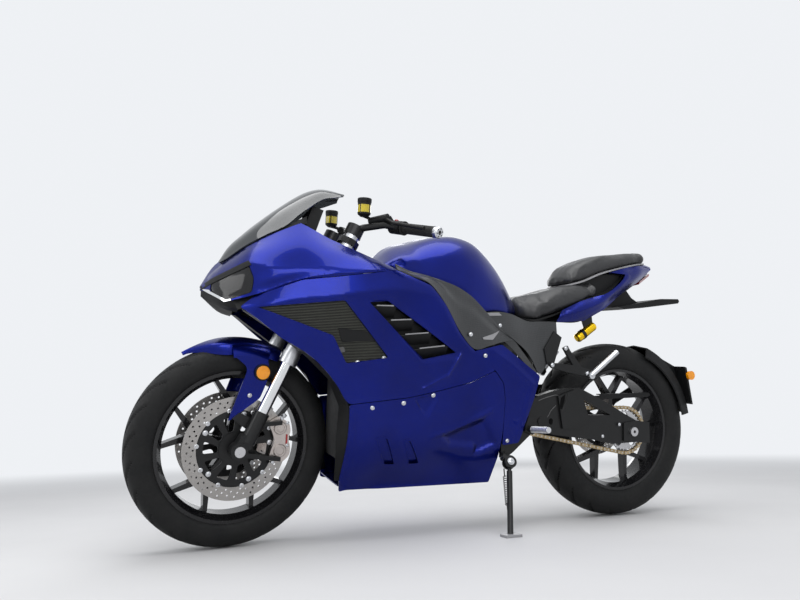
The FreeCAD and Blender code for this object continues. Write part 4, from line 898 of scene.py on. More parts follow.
def vents():
    """The mesh and four slats with bright lips."""
    mesh()
    shape = Shape().side(near(GILLS, 1.06, 6), flank, 2.0, 26.0, step=16.0)
    count, steps = 4, 12
    a0, b0, b1, a1 = (np.array(p, float) for p in GILLS)
    faces = grid_faces(steps + 1, 4, True) + [(3, 2, 1, 0), tuple(steps * 4 + k for k in range(4))]
    for i in range(count):
        t = (i + 0.30) / count
        front, rear = a0 + (a1 - a0) * t, b0 + (b1 - b0) * (t + 0.04)
        slat, lip = [], []
        for k in range(steps + 1):
            p = front + (rear - front) * k / steps
            q = p + np.array([-3.0, -30.0])
            y0, y1 = flank.at(*p), flank.at(*q)
            slat += [(p[0], y0 - 3.0, p[1] + 1.5), (p[0], y0 - 2.2, p[1] - 0.5), (q[0], y1 - 22.0, q[1]),
                     (q[0], y1 - 24.0, q[1] + 2.5)]
            p = front + (rear - front) * (0.16 + 0.74 * k / steps)
            lip += [(p[0], flank.at(*p) + dy, p[1] + dz)
                    for dy, dz in ((-4.0, 1.0), (-1.0, 1.0), (-0.8, 4.4), (-4.0, 4.8))]
        shape.pair(slat, faces, 0)
        shape.pair(lip, faces, 1)
    piece("gill_slats", shape, ["black_plastic", "grey_edge"], edge=0.5)


def mesh_line(loop, z):
    """Where the level z crosses an outline."""
    out = []
    for (x0, z0), (x1, z1) in zip(loop, loop[1:] + loop[:1]):
        if (z0 > z) != (z1 > z):
            out.append(x0 + (x1 - x0) * (z - z0) / (z1 - z0))
    return out


def nose():
    """Nose cowl with its beak and chin, and the headlamps."""
    skin = Skin(tangent_grid([(x, [a, b, c]) for x, a, b, c in NOSE], 0.05), (2,))
    outline = [(x, a[1]) for x, a, b, c in NOSE] + [(x, c[1]) for x, a, b, c in NOSE[::-1]]
    lamp_edge = rounded(LAMP, 9)
    crest = [(x, b[1]) for x, a, b, c in NOSE[1:]]
    brow = [(1350, 724), (1270, 760), (1200, 782), (1120, 796), (1010, 806)]
    shape = Shape().side(outline, skin, 3.0, holes=[lamp_edge], lines=[crest, brow], edge_step=5.0,
                         form=lambda v: ridge(v, brow, 2.2, 4.0))
    shape.put(*body_of_rows(BEAK, 8, 10), 0)
    shape.put(*body_of_rows(CHIN, 8, 10), 1)
    piece("nose", shape, ["blue_paint", "black_plastic"], replace=["nose_cowl"], angle=26, edge=1.0)

    brow_strip = [(1490, 755), (1462, 775), (1369, 824), (1362, 810), (1460, 760), (1486, 744)]
    cheek = [(1410, 724), (1300, 750), (1250, 766), (1250, 735), (1330, 712), (1392, 682)]
    light_strip = [(1488, 748), (1466, 742), (1463, 737), (1424, 711), (1412, 713), (1410, 709), (1427, 705),
                   (1469, 733)]
    shape = Shape().side(near(LAMP, 0.985, 9), skin, 3.0, 3.0, holes=[near(LAMP, 0.93, 9)], step=10.0)
    shape.side(brow_strip, skin, 3.5, -2.0, step=6.0)
    shape.side(cheek, flank, 2.0, 9.0, step=12.0)
    shape.side(light_strip, skin, 2.5, -1.2, 1, step=6.0)
    piece("lamp_rim", shape, ["black_plastic", "chrome"], edge=0.4)
    shape = Shape().side(near(LAMP, 0.97, 9), skin, 2.0, 2.2, step=7.0,
                         form=lambda v: 2.5 * smoothstep(off_edge(v, lamp_edge) / 26.0))
    piece("lamp_lens", shape, ["smoked_lens"], replace=["headlamps"], angle=50)

    reflector = [(1462, 757), (1457, 742), (1420, 712), (1384, 722), (1386, 730), (1420, 722), (1448, 744),
                 (1454, 758)]
    shape = Shape().side(near(LAMP, 0.98, 9), skin, 2.0, 34.0, step=12.0)
    shape.side(near(LAMP, 0.99, 9), skin, 30.0, 5.5, holes=[near(LAMP, 0.95, 9)], step=12.0)
    shape.side(reflector, skin, 5.0, 8.0, 1, step=8.0)
    for x, z, r in ((1400, 762, 22), (1428, 752, 14)):
        bowl = [(0, r), (10, r), (12, r - 2), (4, r - 7), (3, 2)]
        shape.pair(*lathe(bowl, (x, skin.at(x, z) - 34, z), (0.45, 0.89, 0)), 2)
    piece("lamp_inside", shape, ["black_plastic", "chrome", "gloss_black"])


def screen_and_tank():
    rows = [(x, [e, m, (0, c), (-m[0], m[1]), (-e[0], e[1])]) for x, c, m, e in SCREEN]
    shape = Shape().put(*shell(surface_grid(rows, 56, 33), 3.4))
    piece("screen", shape, ["smoke_screen"], replace=["windscreen"], angle=60)
    rows = [(x, [(0, c), a, b, d, (d[0] * 0.93, fz), (0, fz)]) for x, c, a, b, d, fz in TANK]
    shape = Shape().put(*body_of_rows(rows, 84, 46, (3, 4)))
    piece("tank_shell", shape, ["blue_paint"], replace=["tank"], angle=40)


def trims():
    """Woven trims beside the tank and the seat, with their pale wedges."""
    g = surface_grid(TRIM, 60, 13, (1,))
    g[:, 2:5, 1] -= 2.5
    shape = Shape().pair(*shell(g, -3.0))
    shape.pair(*shell(surface_grid(SEAT_TRIM, 30, 12), -3.0))
    tank_wedge = [(566, 652), (600, 640), (640, 628), (636, 622), (598, 622)]
    shape.side(tank_wedge, Skin(TRIM), 2.0, -1.6, 1, step=8.0)
    seat_wedge = [(560, 713), (616, 709), (600, 700), (548, 704)]
    shape.side(seat_wedge, Skin(SEAT_TRIM), 2.0, -1.4, 1, step=8.0)
    low = [(512, 634), (440, 566), (398, 522), (400, 508), (436, 536), (520, 604), (560, 634)]
    shape.side(low, Skin([(x, [(y - 2.5, z) for y, z in pts]) for x, pts in SEAT_TRIM]), 2.5)
    piece("trims", shape, ["dark_trim", "grey_edge"], replace=["side_trims"], angle=24, edge=1.2)


def swell(o):
    """Remeshes a pad and blows it up as cloth, with each vertex moved by 6 mm at most."""
    voxel_m, pressure, stiffness, frames, most_m = 0.006, 4.0, 25.0, 20, 0.006
    r = o.modifiers.new("remesh", "REMESH")
    r.mode = "VOXEL"
    r.voxel_size = voxel_m
    r.use_smooth_shade = True
    apply_modifiers(o)
    rest = [q.co.copy() for q in o.data.vertices]
    c = o.modifiers.new("cloth", "CLOTH")
    c.settings.use_pressure = True
    c.settings.uniform_pressure_force = pressure
    c.settings.effector_weights.gravity = 0.0
    c.settings.quality = 5
    c.settings.tension_stiffness = c.settings.compression_stiffness = stiffness
    c.point_cache.frame_start, c.point_cache.frame_end = 1, frames
    for n in range(1, frames + 1):
        scene.frame_set(n)
    apply_modifiers(o)
    for q, start in zip(o.data.vertices, rest):
        move = q.co - start
        if move.length > most_m:
            q.co = start + move * (most_m / move.length)
    scene.frame_set(1)


def cushion(name, rows, cover, seams=()):
    """Seat pad: crowned closed form, swelled as cloth, then its seams pressed in."""
    pts = [(x, [(0, t + 3), (a[0], a[1] + 1), (b[0] - 1, b[1]), (b[0] - 7, lo), (0, lo)])
           for x, t, a, b, lo in rows]
    narrow, flat, end_step = 0.72, 0.5, 5
    ends = []
    for (x, row), step in ((pts[0], end_step), (pts[-1], -end_step)):
        cz = sum(q[1] for q in row) / len(row)
        ends.append((x + step, [(y * narrow, cz + (z - cz) * flat) for y, z in row]))
    v, f = body_of_rows([ends[0]] + pts + [ends[1]], 34, 22, (3,))
    me = bpy.data.meshes.new(name)
    me.from_pydata([tuple(p) for p in v], [], f)
    me.transform(UPRIGHT)
    o = bpy.data.objects.new(name, me)
    scene.collection.objects.link(o)
    swell(o)
    me = o.data
    back = UPRIGHT.inverted()
    least_push, seam_height = 0.05, 90
    for q in me.vertices:
        p = back @ q.co
        for (x0, z0), (x1, z1), deep, wide in seams:
            d = ((p.x - x0) * (z1 - z0) - (p.z - z0) * (x1 - x0)) / math.hypot(x1 - x0, z1 - z0)
            push = deep * math.exp(-(d / wide) ** 2)
            if push > least_push and abs(p.z - z0) < seam_height:
                q.co = q.co - q.normal * (push * MM)
    me.materials.clear()
    me.materials.append(M[cover])
    for p in me.polygons:
        p.use_smooth = True
    s = o.modifiers.new("round", "SUBSURF")
    s.levels = s.render_levels = 1
    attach(o, "chassis")
    return o


def apply_modifiers(o):
    dep = bpy.context.evaluated_depsgraph_get()
    me = bpy.data.meshes.new_from_object(o.evaluated_get(dep))
    old = o.data
    o.modifiers.clear()
    o.data = me
    bpy.data.meshes.remove(old)


def seats():
    pad = cushion("rider_pad", RIDER, "seat_cover")
    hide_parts("rider_seat")
    pad = cushion("pillion_pad", PILLION, "pillion_cover", [((60, 0), (74, 1000), 5.0, 5.0)])
    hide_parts("pillion_seat")
    shape = Shape()
    pillion = [(236, 870, (40, 860), (60, 848), 832)] + PILLION
    for mat, (rows, inset, reach) in enumerate(((RIDER, 3, 1), (pillion, 2, 2))):
        base = [(x, [(0, lo - 1), (b[0] - inset, lo - 1), (b[0] + reach, lo - 4), (b[0] - inset, lo - 7),
                     (0, lo - 7)]) for x, t, a, b, lo in rows]
        shape.put(*body_of_rows(base, 24, 12, (1, 3)), mat)
    piece("seat_bases", shape, ["black_plastic", "grey_edge"], edge=0.6)


def tail():
    """Painted sides and top of the tail, and its dark liner, sill and underside."""
    side = [(320, 698), (294, 735), (206, 772), (139, 792), (100, 802), (60, 822), (20, 850), (-4, 872),
            (-14, 886), (52, 890), (20, 900), (-43, 918), (-106, 930), (-191, 934), (-203, 926), (-186, 915),
            (-117, 869), (-49, 838), (10, 802), (89, 750), (188, 703), (314, 692)]
    crease = [(300, 716), (200, 742), (100, 780), (20, 838), (-30, 880)]
    tops = [(52, [(0, 904), (60, 902), (74, 892), (78, 886)]),
            (0, [(0, 916), (56, 912), (74, 902), (80, 896)]),
            (-43, [(0, 930), (50, 926), (66, 918), (71, 912)]),
            (-106, [(0, 942), (36, 938), (50, 932), (56, 926)]),
            (-160, [(0, 945), (22, 942), (30, 938), (34, 932)]),
            (-203, [(0, 940), (8, 938), (12, 934), (14, 928)])]
    shape = Shape().side(rounded(side, 4), Skin(TAIL), 3.5, step=7.0,
                         form=lambda v: ridge(v, crease, 2.5, 6.0))
    shape.pair(*shell(surface_grid(tops, 24, 10), -3.0))
    piece("tail_body", shape, ["blue_paint"], replace=["tail_cowl"], angle=28, edge=0.9)

    liner = [(214, 762), (212, 834), (184, 850), (87, 882), (-6, 888), (0, 866), (43, 830), (86, 806),
             (139, 790)]
    sill = [(212, [(106, 772), (66, 790)]), (139, [(98, 792), (66, 800)]), (86, [(92, 806), (66, 812)]),
            (43, [(86, 832), (66, 836)]), (0, [(80, 872), (66, 874)]), (-12, [(76, 886), (66, 888)])]
    under = [(320, [(0, 694), (60, 694), (121, 692)]), (206, [(0, 720), (50, 712), (101, 700)]),
             (110, [(0, 752), (50, 748), (93, 742)]), (0, [(0, 812), (40, 810), (69, 806)]),
             (-106, [(0, 868), (24, 866), (41, 864)]), (-190, [(0, 912), (4, 911), (9, 910)])]
    dark = Shape().pair(*plate(rounded(liner, 6), 62.0, 67.0, 14.0, 14.0))
    dark.pair(*shell(surface_grid(sill, 24, 6), 2.0))
    dark.pair(*shell(surface_grid(under, 30, 8), 2.5))
    piece("tail_inner", dark, ["black_plastic"], angle=40, edge=0.6)


# Wheels, brakes and chain

def tyre(name, node_name, body, at, radius, width, grooves):
    """Tyre on a fine grid, with pairs of slanted grooves pressed into the tread; the groove floors get a
    near-black material as painted shade.
    """
    half, tall = width / 2, radius - BEAD_R
    n, sections, groove_depth, tread_from = 864, 62, 5.5, 0.4
    profile = [(0.68, 0.02), (0.80, 0.045), (0.90, 0.13), (0.965, 0.27), (0.995, 0.42), (0.985, 0.55),
               (0.93, 0.70), (0.83, 0.815), (0.68, 0.90), (0.48, 0.957), (0.24, 0.99), (0.0, 1.0)]
    left = profile + [(-a, b) for a, b in profile[-2::-1]]
    ts = np.cumsum([0] + [math.hypot((a[0] - b[0]) * half, (a[1] - b[1]) * tall)
                          for a, b in zip(left, left[1:])])
    ring = np.concatenate([spline(ts, left, np.linspace(0, ts[-1], sections)), [[-0.66, 0.0], [0.66, 0.0]]])
    k = len(ring)
    phi = 2 * np.pi * np.arange(n) / n
    s, t = ring[:, 0], ring[:, 1]
    a = np.abs(s)
    depth = np.zeros((n, k))
    pitch = 2 * np.pi / grooves
    for side in (-1, 1):
        on = (np.sign(s) == side) & (t > tread_from)
        for lo, hi, lead, slope, wide in ((0.05, 0.84, 0.0, 0.40, 3.2), (0.34, 0.93, 0.22, 0.32, 2.6)):
            centre = slope * a ** 1.35 + lead * pitch + (pitch / 2 if side > 0 else 0)
            d = (phi[:, None] - centre[None] + pitch / 2) % pitch - pitch / 2
            d = np.abs(d) * radius * 0.72
            end = smoothstep((a - lo) / 0.07) * smoothstep((hi - a) / 0.07)
            hit = smoothstep((wide + 1.4 - d) / 1.8) * end[None] * groove_depth
            depth = np.maximum(depth, np.where(on[None], hit, 0))
    rings = 0.7 * (np.exp(-((t - 0.20) / 0.02) ** 2) + np.exp(-((t - 0.11) / 0.015) ** 2)) * (a > 0.5)
    r = (BEAD_R + t * tall)[None] - depth
    y = np.clip(s * half + np.sign(s) * rings * 0.6, -half, half)
    v = np.stack([at[0] + r * np.cos(phi)[:, None], np.broadcast_to(y + at[1], r.shape),
                  at[2] + r * np.sin(phi)[:, None]], axis=2)
    f = grid_faces(n, k, True)
    f += [((n - 1) * k + j, (n - 1) * k + (j + 1) % k, (j + 1) % k, j) for j in range(k)]
    shape = Shape().put(v.reshape(-1, 3), f)
    # Faces deeper than 2 mm in the grooves take the second, near-black material: painted shade in the grooves
    cut = depth > 2.0
    cut = cut & np.roll(cut, -1, axis=0)
    cut = cut & np.roll(cut, -1, axis=1)
    shape.m = [int(c) for c in cut.ravel()]
    return piece(name, shape, ["tyre", "painted_recess_shade"], body, [node_name], angle=50)


def polar(at, r, a):
    """Point (x, z) at a radius and an angle about an axle."""
    return at[0] + r * math.cos(a), at[2] + r * math.sin(a)


def ringed(outer, inner, at, y0, y1, holes, n):
    """Flat ring about an axle, with holes."""
    bore = circle(at[0], at[2], inner, n * 2 // 3)
    return plate(circle(at[0], at[2], outer, n), y0, y1, 12.0, 6.0, [bore] + holes)


def drill(at, rows, spread):
    """Small holes in slanted rows round a disc, each row of (radius, lead angle)."""
    return [circle(*polar(at, r, 2 * math.pi * i / rows + lead), 3.1, 8)
            for i in range(rows) for r, lead in spread]


def carrier(at, outer, inner, y0, y1, arms, low, high):
    """Black disc carrier with a ring of slanted windows."""
    holes = [circle(at[0], at[2], inner, 32)]
    step = 2 * math.pi / arms
    corners = ((-0.30, low), (0.22, low), (0.42, high), (-0.20, high))
    for i in range(arms):
        holes.append(rounded([polar(at, r, step * i + step * q) for q, r in corners], 6, 2))
    return plate(circle(at[0], at[2], outer, 72), y0, y1, 14.0, 7.0, holes)


def discs():
    """Drilled rings, black carriers, pins and screws."""
    at = tuple(FRONT_AXLE)
    holes = drill(at, 18, [(118, 0.0), (128, 0.075), (138, 0.15)]) + drill(at, 18, [(123, 0.22), (134, 0.30)])
    front = Shape().pair(*ringed(148, 110, at, 59.9, 64.3, holes, 120))
    black = Shape().pair(*carrier(at, 109.5, 20, 59.0, 63.0, 10, 50, 92))
    black.pair(*lathe([(0, 33), (36, 33), (37, 44), (40, 48)], (at[0], 26.6, at[2]), n=40))
    pins = Shape()
    for x, z in circle(at[0], at[2], 109.5, 10, 0.1):
        pins.pair(*lathe([(0, 6.5), (7.0, 6.5), (7.6, 5.5), (7.6, 3), (5, 2.8)], (x, 58.5, z), n=16))
    for r, size in ((41, 4.0), (99, 6.0)):
        for x, z in circle(at[0], at[2], r, 5, 0.5):
            pins.pair(*bolt((x, 62.6, z), size, 3.2))
    piece("front_disc_rings", front, ["disc_steel"], "front_wheel", ["front_discs"], edge=0.3, segments=1)
    piece("front_disc_carriers", black, ["black_frame"], "front_wheel", edge=0.7)
    piece("front_disc_pins", pins, ["silver"], "front_wheel")
    at = tuple(REAR_AXLE)
    holes = drill(at, 20, [(82, 0.0), (90, 0.05), (98, 0.10)]) + drill(at, 20, [(87, 0.17), (95, 0.22)])
    rear = Shape().put(*ringed(110, 72, at, -68.2, -63.8, holes, 100))
    piece("rear_disc_ring", rear, ["disc_steel"], "rear_wheel", ["rear_disc"], edge=0.3, segments=1)
    shape = Shape().put(*carrier(at, 76, 18, -68.4, -64.0, 5, 42, 64))
    shape.put(*lathe([(0, 34), (40, 34)], (at[0], -64.6, at[2]), n=40))
    piece("rear_disc_carrier", shape, ["black_frame"], "rear_wheel", edge=0.7)


def chain_line():
    """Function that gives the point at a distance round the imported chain, with its pitch and links."""
    pitch, links, rear_teeth, drive_teeth, drive_z = 15.875, 84, 32, 14, 362.0
    rear_r, drive_r = (pitch / (2 * math.sin(math.pi / teeth)) for teeth in (rear_teeth, drive_teeth))
    low, high = 300.0, 700.0
    for _ in range(60):
        c = (low + high) / 2
        tilt = math.asin((rear_r - drive_r) / c)
        length = 2 * c * math.cos(tilt) + math.pi * (rear_r + drive_r) + 2 * tilt * (rear_r - drive_r)
        low, high = (low, c) if length > links * pitch else (c, high)
    dz = drive_z - REAR_R
    dx = math.sqrt(c * c - dz * dz)
    rise = math.atan2(dz, dx)
    run = c * math.cos(tilt)
    top, bottom = rise + math.pi / 2 - tilt, rise - math.pi / 2 + tilt
    arc_r, arc_d = rear_r * (math.pi + 2 * tilt), drive_r * (math.pi - 2 * tilt)
    rear, drive = np.array([0, REAR_R]), np.array([dx, drive_z])

    def on(centre, radius, angle):
        return centre + np.array([math.cos(angle), math.sin(angle)]) * radius

    def point(s):
        s %= links * pitch
        if s < arc_r:
            return on(rear, rear_r, top + s / rear_r)
        s -= arc_r
        if s < run:
            a, b = on(rear, rear_r, bottom), on(drive, drive_r, bottom)
            return a + (b - a) * s / run
        s -= run
        if s < arc_d:
            return on(drive, drive_r, bottom + s / drive_r)
        a, b = on(drive, drive_r, top), on(rear, rear_r, top)
        return a + (b - a) * min(1, (s - arc_d) / run)
    return point, pitch, links


def chain():
    """Roller chain: waisted side plates in two layers, with rollers and pin ends."""
    point, pitch, links = chain_line()
    plates, pins = Shape(), Shape()
    y, end_r, waist, thick = 88.0, 6.6, 4.6, 1.5
    for i in range(links):
        a, b = point(i * pitch), point((i + 1) * pitch)
        d = (b - a) / np.linalg.norm(b - a)
        w = np.array([-d[1], d[0]])
        loop = []
        for centre, start, side in ((a, 90, -1), (b, -90, 1)):
            for k in range(7):
                angle = math.radians(start + 30 * k)
                loop.append(centre + (d * math.cos(angle) + w * math.sin(angle)) * end_r)
            loop.append((a + b) / 2 + w * side * waist)
        n = len(loop)
        for s in (-1, 1):
            y0 = y + s * (5.6 if i % 2 else 3.9)
            v = [(x, q, z) for q in (y0, y0 + s * thick) for x, z in loop]
            f = [tuple(range(n)), tuple(range(n, 2 * n))[::-1]]
            plates.put(v, f + [(k, k + n, (k + 1) % n + n, (k + 1) % n) for k in range(n)])
        for half, radius, sides in ((7.4, 2.4, 10), (3.6, 4.6, 12)):
            pins.put(*lathe([(-half, radius), (half, radius)], (a[0], y, a[1]), n=sides))
    piece("chain_plates", plates, ["chain_gold"], "chassis", ["chain"], angle=30)
    piece("chain_pins", pins, ["steel"], "chassis")


# Fender, controls and small parts

def fender():
    """Front fender: crown, flap and shoulder on each side, with the round reflectors."""
    r = FRONT_R + 12
    cx, cz = FRONT_AXLE.x, FRONT_AXLE.z

    def arc(q, w, degrees):
        a = math.radians(degrees)
        return cx + q * math.sin(a), w, cz + q * math.cos(a)

    rows = []
    for k in range(25):
        deg = -24 + 54 * k / 24
        narrow = 1.0 - 0.95 * smoothstep((deg - 6) / 24.5) ** 1.1
        narrow *= 1.0 - 0.10 * smoothstep((-deg - 14) / 10.0)
        pts = []
        for w, h in ((62, -36), (60.5, -20), (56, -5), (44, 3), (24, 8.4), (6, 11.6), (0, 12.4)):
            pts.append((w * narrow, r + h * (0.1 + 0.9 * narrow) if h < 0 else r + h * (0.4 + 0.6 * narrow)))
        rows.append([arc(q, w, deg) for w, q in pts + [(-w, q) for w, q in pts[-2::-1]]])
    g = np.array(rows).transpose(1, 0, 2)
    fine = spline(np.arange(13.0), g, np.linspace(0, 12, 49), (6,)).transpose(1, 0, 2)
    shape = Shape().put(*shell(fine, -3.0))
    flap = [(-17.1, .868), (-6, .877), (4.9, .879), (-3.4, .778), (-4.4, .730), (21.4, .278), (-21.9, .509),
            (-21.9, .625), (-20.9, .754)]
    loop = [arc(r * q, 0, degrees)[::2] for degrees, q in flap]
    fold = [(loop[0][0] + 10, loop[0][1] - 12), (loop[7][0] + 14, loop[7][1] - 40), loop[5]]
    v, f = fill(rounded(loop, 9), (), [fold], 9.0)
    y = 78.0 + ridge(v, fold, 1.6, 9.0)
    shape.pair(*sheet([(p[0], q, p[1]) for p, q in zip(v, y)], [(p[0], 74.6, p[1]) for p in v], f))
    shoulder = ((55, r - 6), (64, r - 12), (72, r - 22), (76.5, r - 34), (78, r - 44))
    rows = [[arc(q, w, -17 + 22 * k / 12) for w, q in shoulder] for k in range(13)]
    shape.pair(*shell(np.array(rows), 3.0))
    piece("fender", shape, ["blue_paint"], "steering", ["front_fender"], angle=34, edge=0.8)
    at = (1318, 78.2, 512)
    lens = Shape().pair(*lathe([(0, 20), (7.4, 20), (8.4, 18), (8.6, 9), (8.6, 0.5)], at, n=40))
    rim = Shape().pair(*lathe([(0, 24), (8.0, 24), (9.0, 22.5), (9.0, 20.4), (7.0, 20.4)], at, n=40))
    piece("fender_reflector_lenses", lens, ["amber"], "steering", ["fender_reflectors"])
    piece("fender_reflector_rims", rim, ["black_plastic"], "steering")


def knurled(profile, start, end, step, notch):
    """Adds a row of notches, each of (along, radius) points, to a turned profile."""
    s = start
    while s < end:
        profile += [(s + along_it, radius) for along_it, radius in notch]
        s += step
    return profile


def bars():
    """Grip sleeves and bar ends with their ring of holes."""
    inner, outer = Vector((947, 205, 962)), Vector((904, 345, 938))
    d = (outer - inner).normalized()
    start = inner + d * 4
    prof = knurled([(0, 21.5), (1, 21.8), (4, 21.8), (5, 21.0), (5.5, 15.8)], 9.0, 122, 5.2,
                   [(0, 15.6), (0.7, 16.5), (3.0, 16.5), (3.7, 15.6)])
    prof += [(126, 15.8), (127, 17.2), (131, 17.2), (132, 16.2), (132, 11)]
    sleeve = Shape().pair(*lathe(prof, start, d, 36))
    piece("grip_sleeves", sleeve, ["rubber"], "steering", ["grips"], angle=40)
    p = start + d * 132.4
    cap = [(0, 16.6), (2, 17.2), (13, 17.2), (16.6, 14.6), (16.6, 6.5), (12, 6.0)]
    ends = Shape().pair(*lathe(cap, p, d, 36))
    piece("bar_end_caps", ends, ["silver"], "steering", ["bar_ends"], angle=30)
    dots = Shape()
    for i in range(6):
        q = p + around(d, 2 * math.pi * i / 6) * 11.2 + d * 15.6
        dots.pair(*lathe([(0, 2.3), (1.1, 2.3)], q, d, 10))
    piece("bar_end_holes", dots, ["black_plastic"], "steering")


def reservoirs():
    """Fluid cups in their cages, with lids and screws."""
    foot, up = Vector((1047, 136, 1001)), Vector((0, 0, 1))
    cup = [(-8, 9), (-7, 12), (0, 20.0), (5, 20.8), (5, 17.0)]
    lid = [(29, 17.0), (29, 20.4), (36, 20.6), (36.5, 21.8), (38, 21.8), (39, 21.0), (40, 21.8), (47.5, 21.8),
           (49.4, 20.0), (49.4, 8)]
    body = Shape().pair(*lathe(cup, foot, up, 36)).pair(*lathe(lid, foot, up, 36))
    body.pair(*tube(along([foot - up * 5, (1030, 131, 993), (1018, 127, 989)], 8), 5.0, 12))
    fluid = Shape().pair(*lathe([(4.8, 19.0), (5.2, 19.7), (28.8, 19.7), (29.2, 19.0)], foot, up, 36))
    for x, y in circle(0, 0, 19.4, 4, 0.5):
        post = foot + Vector((x, y, 0))
        body.pair(*tube([post + up * 4, post + up * 32], 1.6, 8))
    screws = Shape()
    for x, y in ((11.5, 11.5), (-11.5, -11.5), (11.5, -11.5), (-11.5, 11.5)):
        screws.pair(*bolt(foot + Vector((x, y, 48.8)), 2.4, 1.6, up))
    piece("reservoir_cups", body, ["black_plastic"], "steering", ["reservoirs"], angle=30)
    piece("reservoir_fluid", fluid, ["yellow_fluid"], "steering")
    piece("reservoir_screws", screws, ["steel"], "steering")


def front_brakes():
    """Four-piston calipers: two halves with piston covers, a bridge, slide pins and a hose fitting."""
    outline = rounded([(1292, 364), (1262, 384), (1230, 363), (1225, 338), (1233, 318), (1225, 298),
                       (1225, 270), (1246, 250), (1290, 256), (1282, 288), (1272, 312), (1280, 336)], 9)
    bridge = [(1260, 383), (1230, 363), (1225, 338), (1225, 270), (1227.5, 272), (1228, 300), (1229, 325),
              (1237, 350), (1253, 377)]
    body, bright = Shape(), Shape()
    for loop, y0, y1 in ((outline, 68.0, 83.5), (outline, 49.0, 56.5), (bridge, 55.0, 70.0)):
        body.pair(*plate(loop, y0, y1, 14.0, 6.0))
    for x, z in ((1258, 350), (1256, 284)):
        body.pair(*lathe([(0, 19), (3.5, 19), (5.4, 17), (5.4, 12), (4.0, 11), (4.0, 3)], (x, 82.5, z), n=32))
        bright.pair(*bolt((x - 22, 83.4, z + 14), 4.2, 3.2))
    red = Shape().pair(*plate(rounded([(1240, 332), (1234, 330), (1234, 304), (1240, 302)], 2), 83.0, 84.4,
                              8.0, 4.0))
    for x, z in ((1254, 378), (1276, 252)):
        bright.pair(*lathe([(0, 5.5), (17, 5.5), (18, 4.5)], (x, 69.0, z), n=16))
    top, lean = Vector((1246, 70, 378)), (-0.2, 0, 1)
    bright.pair(*lathe([(0, 6.5), (7, 6.5), (8, 5.5), (12, 5.5)], top, lean, 6))
    bright.pair(*lathe([(-2, 8), (3, 8)], top + Vector((-2, 0, 6)), lean, 20))
    piece("front_brake_bodies", body, ["caliper"], "steering", ["front_calipers"], edge=1.8, segments=3)
    piece("front_brake_fittings", bright, ["silver"], "steering", edge=0.4)
    piece("front_brake_pads", red, ["red_lens"], "steering")
    piece("fender_screws", Shape().pair(*bolt((1352, 79.0, 446), 5.0, 3.4)), ["silver"], "steering")


def rear_details():
    """Gas bottle in its strap, and the hanger screws."""
    a, b = Vector((188, 62, 640)), Vector((112, 62, 692))
    d = (b - a).normalized()
    size = (b - a).length
    gold = Shape().put(*lathe([(0, 11), (1.5, 14), (4, 16), (9, 16.8), (size - 9, 16.8), (size - 4, 16),
                               (size - 1.5, 14), (size, 10)], a, d, 40))
    strap = Shape().put(*lathe([(24, 16.9), (24, 18.4), (36, 18.4), (36, 16.9)], a, d, 40))
    strap.put(*plate([(118, 678), (146, 662), (170, 725), (124, 725)], 56, 66, 14.0, 8.0))
    piece("gas_bottle", gold, ["gold"], "chassis", ["gas_reservoir"], angle=40)
    piece("gas_bottle_strap", strap, ["black_frame"], "chassis", edge=0.8)
    screws = Shape()
    for x, y, z, r, h in ((346, 140.0, 545, 6.0, 4.0), (292, 140.0, 603, 6.0, 4.0),
                          (202, 140.0, 518, 6.0, 4.0), (372, 125.9, 352, 4.6, 3.0),
                          (128, 125.9, 300, 4.6, 3.0), (60, 131.9, 340, 4.6, 3.0)):
        screws.pair(*bolt((x, y, z), r, h))
    piece("hanger_screws", screws, ["silver"])


def stand_details():
    """Spring and hooks of the side stand, its hinge bolt and the sole under its foot."""
    p, q = Vector((556, 184, 196)), Vector((570, 224, 116))
    axis = (q - p).normalized()
    steps = 130
    path = [p + (q - p) * (k / steps) + around(axis, k * 0.6283) * 5.2 for k in range(steps + 1)]
    hooks = Shape().put(*tube([p - axis * 22, p + axis * 4], 2.0, 10))
    hooks.put(*tube([q - axis * 3, q + axis * 14, q + axis * 20 + Vector((-10, 0, 0))], 2.0, 10))
    piece("stand_spring", Shape().put(*tube(path, 1.3, 8)), ["black_frame"], "side_stand")
    piece("stand_spring_hooks", hooks, ["black_frame"], "side_stand")
    n = Vector((0.114, 0.880, 0.460)).normalized()
    head = lathe([(0, 11.5), (1.6, 11.5), (1.6, 8.2), (5.6, 7.8), (6.6, 5.4), (6.6, 3.6), (4.0, 3.2)],
                 Vector((528.0, 166.0, 232.0)) + n * 13.4, n)
    piece("stand_bolt", Shape().put(*head), ["silver"])
    above = UPRIGHT @ Vector((581, 262, 40))
    back = UPRIGHT.inverted()
    rings = ((0.6, 1.0), (7.0, 1.0), (8.0, 0.9556))
    loop = rounded([(-26.9, -16.9), (26.9, -16.9), (26.9, 24.9), (-26.9, 24.9)], 2.2)
    verts = [tuple(back @ Vector((above.x + x * share * MM, above.y + y * share * MM, z * MM)))
             for z, share in rings for x, y in loop]
    count = len(loop)
    faces = grid_faces(len(rings), count, True) + [tuple(range(2 * count, 3 * count))]
    piece("stand_sole", Shape().put(verts, faces), ["grey_edge"], "side_stand")


